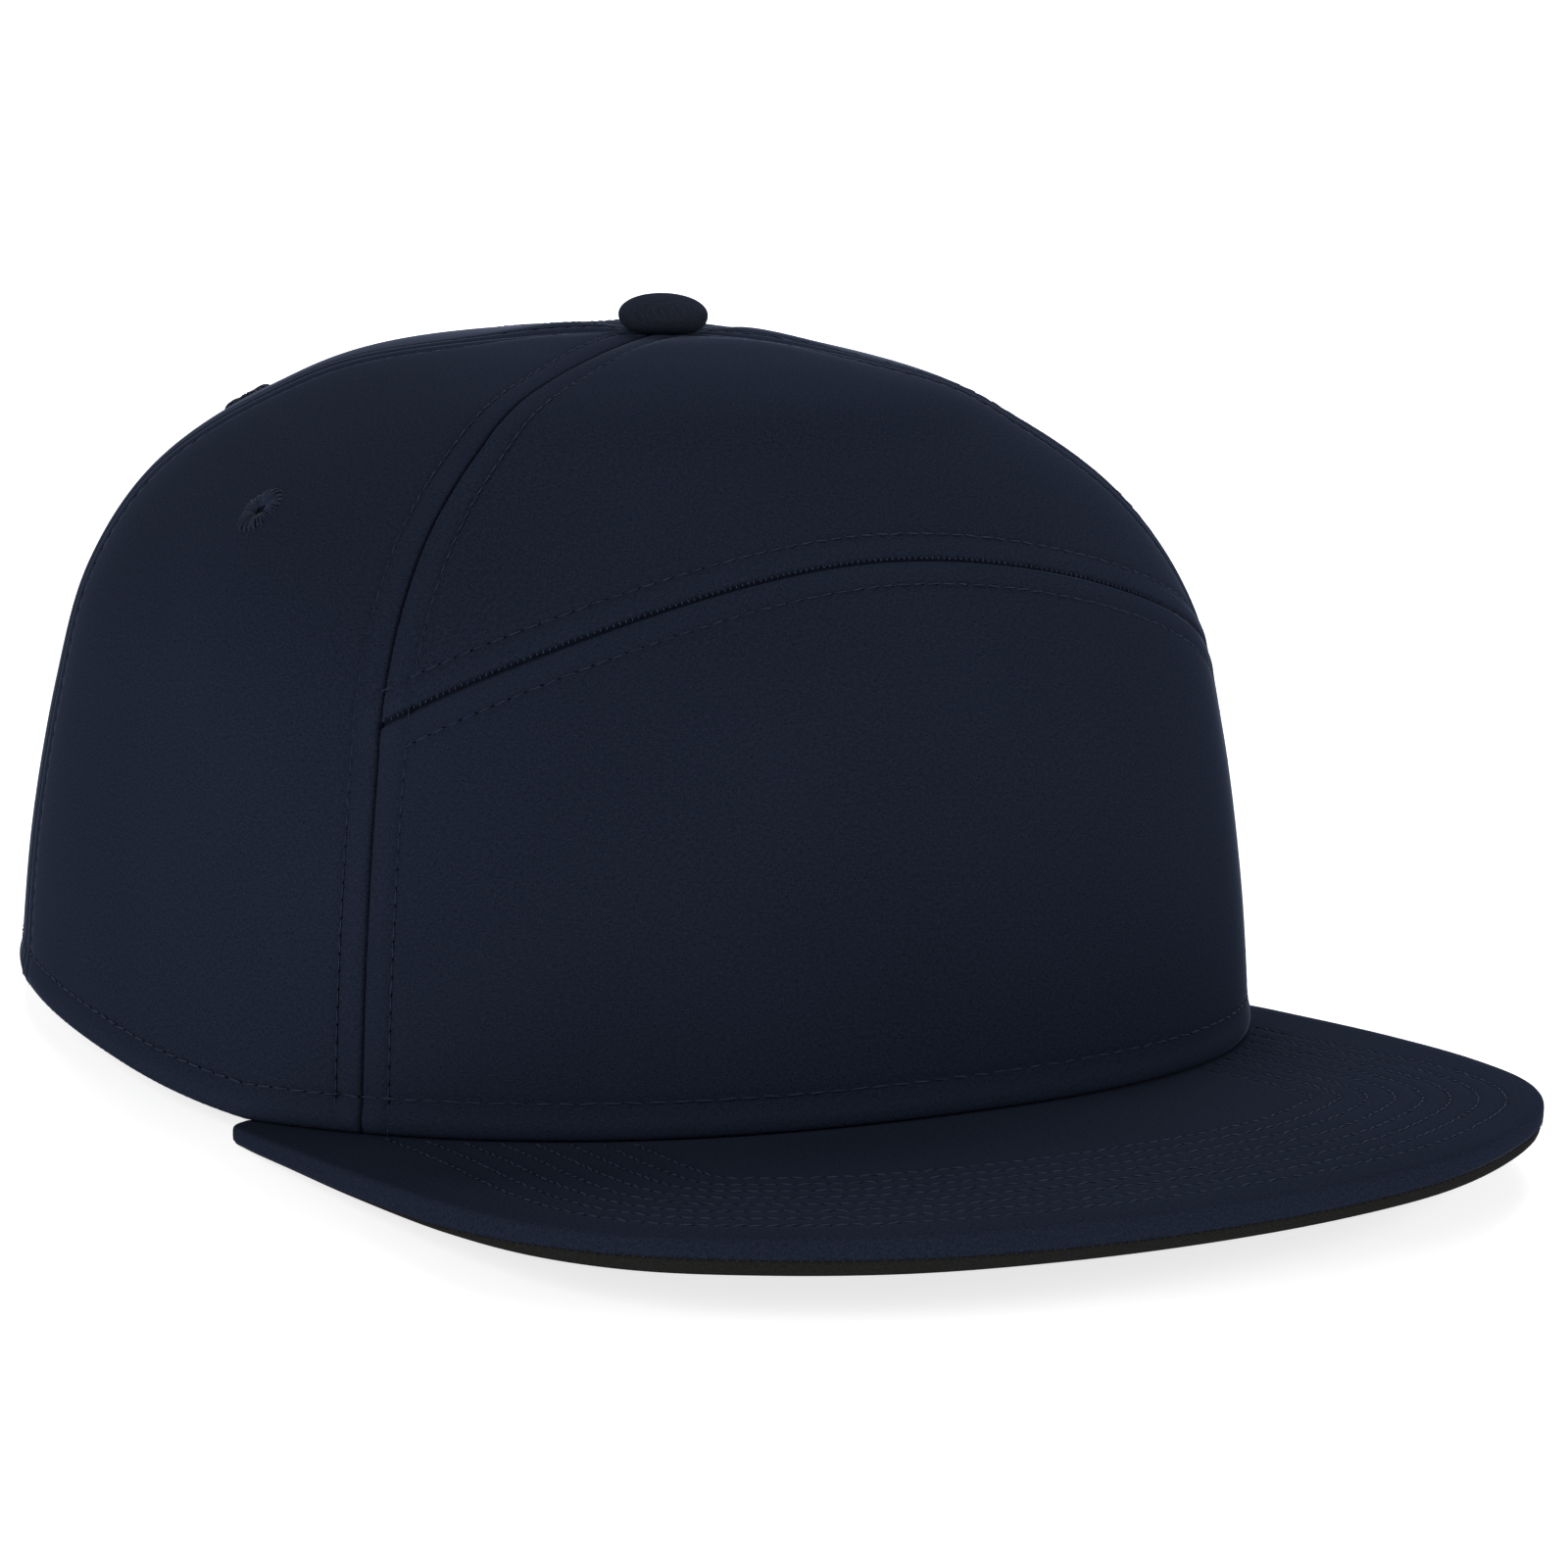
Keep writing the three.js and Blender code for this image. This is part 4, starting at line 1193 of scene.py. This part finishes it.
def strap_half(name, hand, layer):
    """One strap, from its sewn end at one side to its round end past the middle. Layer 1 lies inside."""
    half = STRAP_HEIGHT / 2
    heights = half - half * np.cos(np.linspace(0, math.pi, 41))
    shown, hidden = [], []
    for height in heights:
        corner = max(abs(height - half) - (half - STRAP_CORNER), 0)
        cut = STRAP_CORNER - math.sqrt(STRAP_CORNER**2 - corner**2)
        reach_back = float(reach(180.0, 0.0))
        tip = STRAP_OVERLAP_ANGLE - math.degrees(cut / reach_back)
        turn = np.sort(-hand * np.linspace(-STRAP_HALF_ANGLE, tip, 121))
        ease_out = ease(STRAP_OVERLAP_ANGLE, STRAP_OVERLAP_ANGLE + STRAP_EASE_ANGLE, hand * turn)
        depth = layer * STRAP_LAYER * (1 - ease_out)
        from_edge = min(height, STRAP_HEIGHT - height)
        rounding = STRAP_EDGE_ROUND * (1 - ease(0, 3 * STRAP_EDGE_ROUND, from_edge))
        shown.append(strap_place(turn, height, depth + rounding))
        hidden.append(strap_place(turn, height, depth + STRAP_LAYER - rounding))
    shown, hidden = np.array(shown), np.array(hidden)
    mesh = sheet_mesh(name, shown, hidden, shown[..., [0, 2]], 0 * shown[..., 0])
    return placed(name, mesh, navy_plastic)


def stud_matrix(turn):
    """The outer strap's face at a stud."""
    outward = crown_normal(180.0 + turn, row_at_height(STRAP_HEIGHT / 2))
    return facing(strap_place(turn, STRAP_HEIGHT / 2, 0.0), outward)


navy_plastic = moulded("navy plastic", (0.0050, 0.0068, 0.0140), (0.0095, 0.0130, 0.0255))
outer_strap = strap_half("snap_strap_outer", -1, 0)
first_stud = -STUD_PITCH_ANGLE * (STUD_COUNT - 1) / 2
for k in range(1, OPEN_HOLES + 1):
    punch_hole(outer_strap, stud_matrix(first_stud - STUD_PITCH_ANGLE * k))
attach(outer_strap, "root")
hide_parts("snap_strap")
inner_strap = strap_half("snap_strap_inner", 1, 1)
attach(inner_strap, "root")
shape = bmesh.new()
for k in range(STUD_COUNT):
    squashed = Matrix.Diagonal((STUD_RADIUS * MM, STUD_RADIUS * MM, STUD_HEIGHT * MM, 1))
    matrix = stud_matrix(first_stud + STUD_PITCH_ANGLE * k) @ squashed
    bmesh.ops.create_uvsphere(shape, u_segments=28, v_segments=14, radius=1, matrix=matrix)
stud_mesh = mesh_from("snap_studs", shape)
stud_mesh.shade_smooth()
studs = placed("snap_studs", stud_mesh, navy_plastic)
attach(studs, "root")

# The stage: a white light table that runs out past the picture, brighter away from the cap, faint even light
# from all round, and soft lights from left, front right and back right. The camera stands as for the photo.
FLOOR_REACH, FLOOR_SHADES = 12.0, (0.59, 0.61)
GLOW_NEAR, GLOW_FAR, GLOW_FROM, GLOW_TO = 0.75, 1.05, 0.4, 1.6  # strengths, and metres from the middle
SKY_STRENGTH = 0.15
CAMERA_AZIMUTH, CAMERA_ELEVATION, CAMERA_ROLL = -30.63, 12.02, 1.61
CAMERA_DISTANCE, CAMERA_LENS, SENSOR_WIDTH = 0.75325, 118.5, 36.0
CAMERA_AIM = Vector((0.00758, SHIFT_Y * MM - 0.01949, 0.0418))
LAMP_AIM = Vector((0, 0, 0.05))


def light_table():
    paint = Paint("white light table")
    place = paint.add("ShaderNodeTexCoord", output=3)
    tone = paint.noise(place, (3.0, 3.0, 3.0))
    dark, light, near, far = ((grey, grey, grey) for grey in (*FLOOR_SHADES, GLOW_NEAR, GLOW_FAR))
    surface = paint.blend(tone, dark, light)
    away = paint.add("ShaderNodeVectorMath", {"operation": "LENGTH"}, {0: place}, output=1)
    outward = ((away - GLOW_FROM) / (GLOW_TO - GLOW_FROM)).clamped()
    glow = {"Emission Color": paint.blend(outward, near, far), "Emission Strength": 1.0}
    return paint.finish(surface, 0.85 + 0.05 * tone, tone, 0.0001, {"Specular IOR Level": 0.0, **glow})


corners = [(x * FLOOR_REACH, y * FLOOR_REACH, 0) for x, y in ((-1, -1), (1, -1), (1, 1), (-1, 1))]
floor_mesh = bpy.data.meshes.new("floor")
floor_mesh.from_pydata(corners, [], [(0, 1, 2, 3)])
floor = placed("floor", floor_mesh, light_table())
floor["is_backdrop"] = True

scene = bpy.context.scene
scene.view_settings.view_transform = "Standard"
world = bpy.data.worlds.new("studio")
world.use_nodes = True
sky = world.node_tree.nodes["Background"].inputs
sky["Color"].default_value = (1.0, 1.0, 1.0, 1.0)
sky["Strength"].default_value = SKY_STRENGTH
scene.world = world


def soft_light(name, azimuth, elevation, distance, size, power):
    """A broad lamp aimed at the cap. The angles are in degrees: round from the front to the left, and up."""
    turn, rise = math.radians(azimuth), math.radians(elevation)
    level = math.cos(rise) * distance
    place = Vector((math.sin(turn) * level, -math.cos(turn) * level, math.sin(rise) * distance))
    lamp = bpy.data.lights.new(name, "AREA")
    lamp.shape = "RECTANGLE"
    lamp.size, lamp.size_y = size
    lamp.energy = power
    holder = new_object(name, lamp)
    holder.location = place
    holder.rotation_euler = (LAMP_AIM - place).to_track_quat("-Z", "Y").to_euler()


soft_light("left lamp", -75, 25, 1.6, (1.4, 1.2), 16.5)
soft_light("front right lamp", 45, 20, 1.6, (1.2, 0.9), 13.5)
soft_light("back right lamp", 145, 45, 1.9, (1.4, 1.2), 34.0)

azimuth, elevation, roll = (math.radians(turn) for turn in (CAMERA_AZIMUTH, CAMERA_ELEVATION, CAMERA_ROLL))
level = math.cos(elevation)
backward = Vector((math.sin(azimuth) * level, -math.cos(azimuth) * level, math.sin(elevation)))
rightward = Vector((math.cos(azimuth), math.sin(azimuth), 0))
upward = backward.cross(rightward)
camera_x = rightward * math.cos(roll) + upward * math.sin(roll)
camera_y = upward * math.cos(roll) - rightward * math.sin(roll)
camera_data = bpy.data.cameras.new("camera")
camera_data.lens = CAMERA_LENS
camera_data.sensor_width = SENSOR_WIDTH
camera = new_object("camera", camera_data)
turned = Matrix((camera_x, camera_y, backward)).transposed().to_4x4()
camera.matrix_world = Matrix.Translation(CAMERA_AIM + backward * CAMERA_DISTANCE) @ turned
scene.camera = camera

visual_low, visual_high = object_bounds()
sizes = {"cad": [list(cad_low), list(cad_high)], "visual": [list(visual_low), list(visual_high)]}
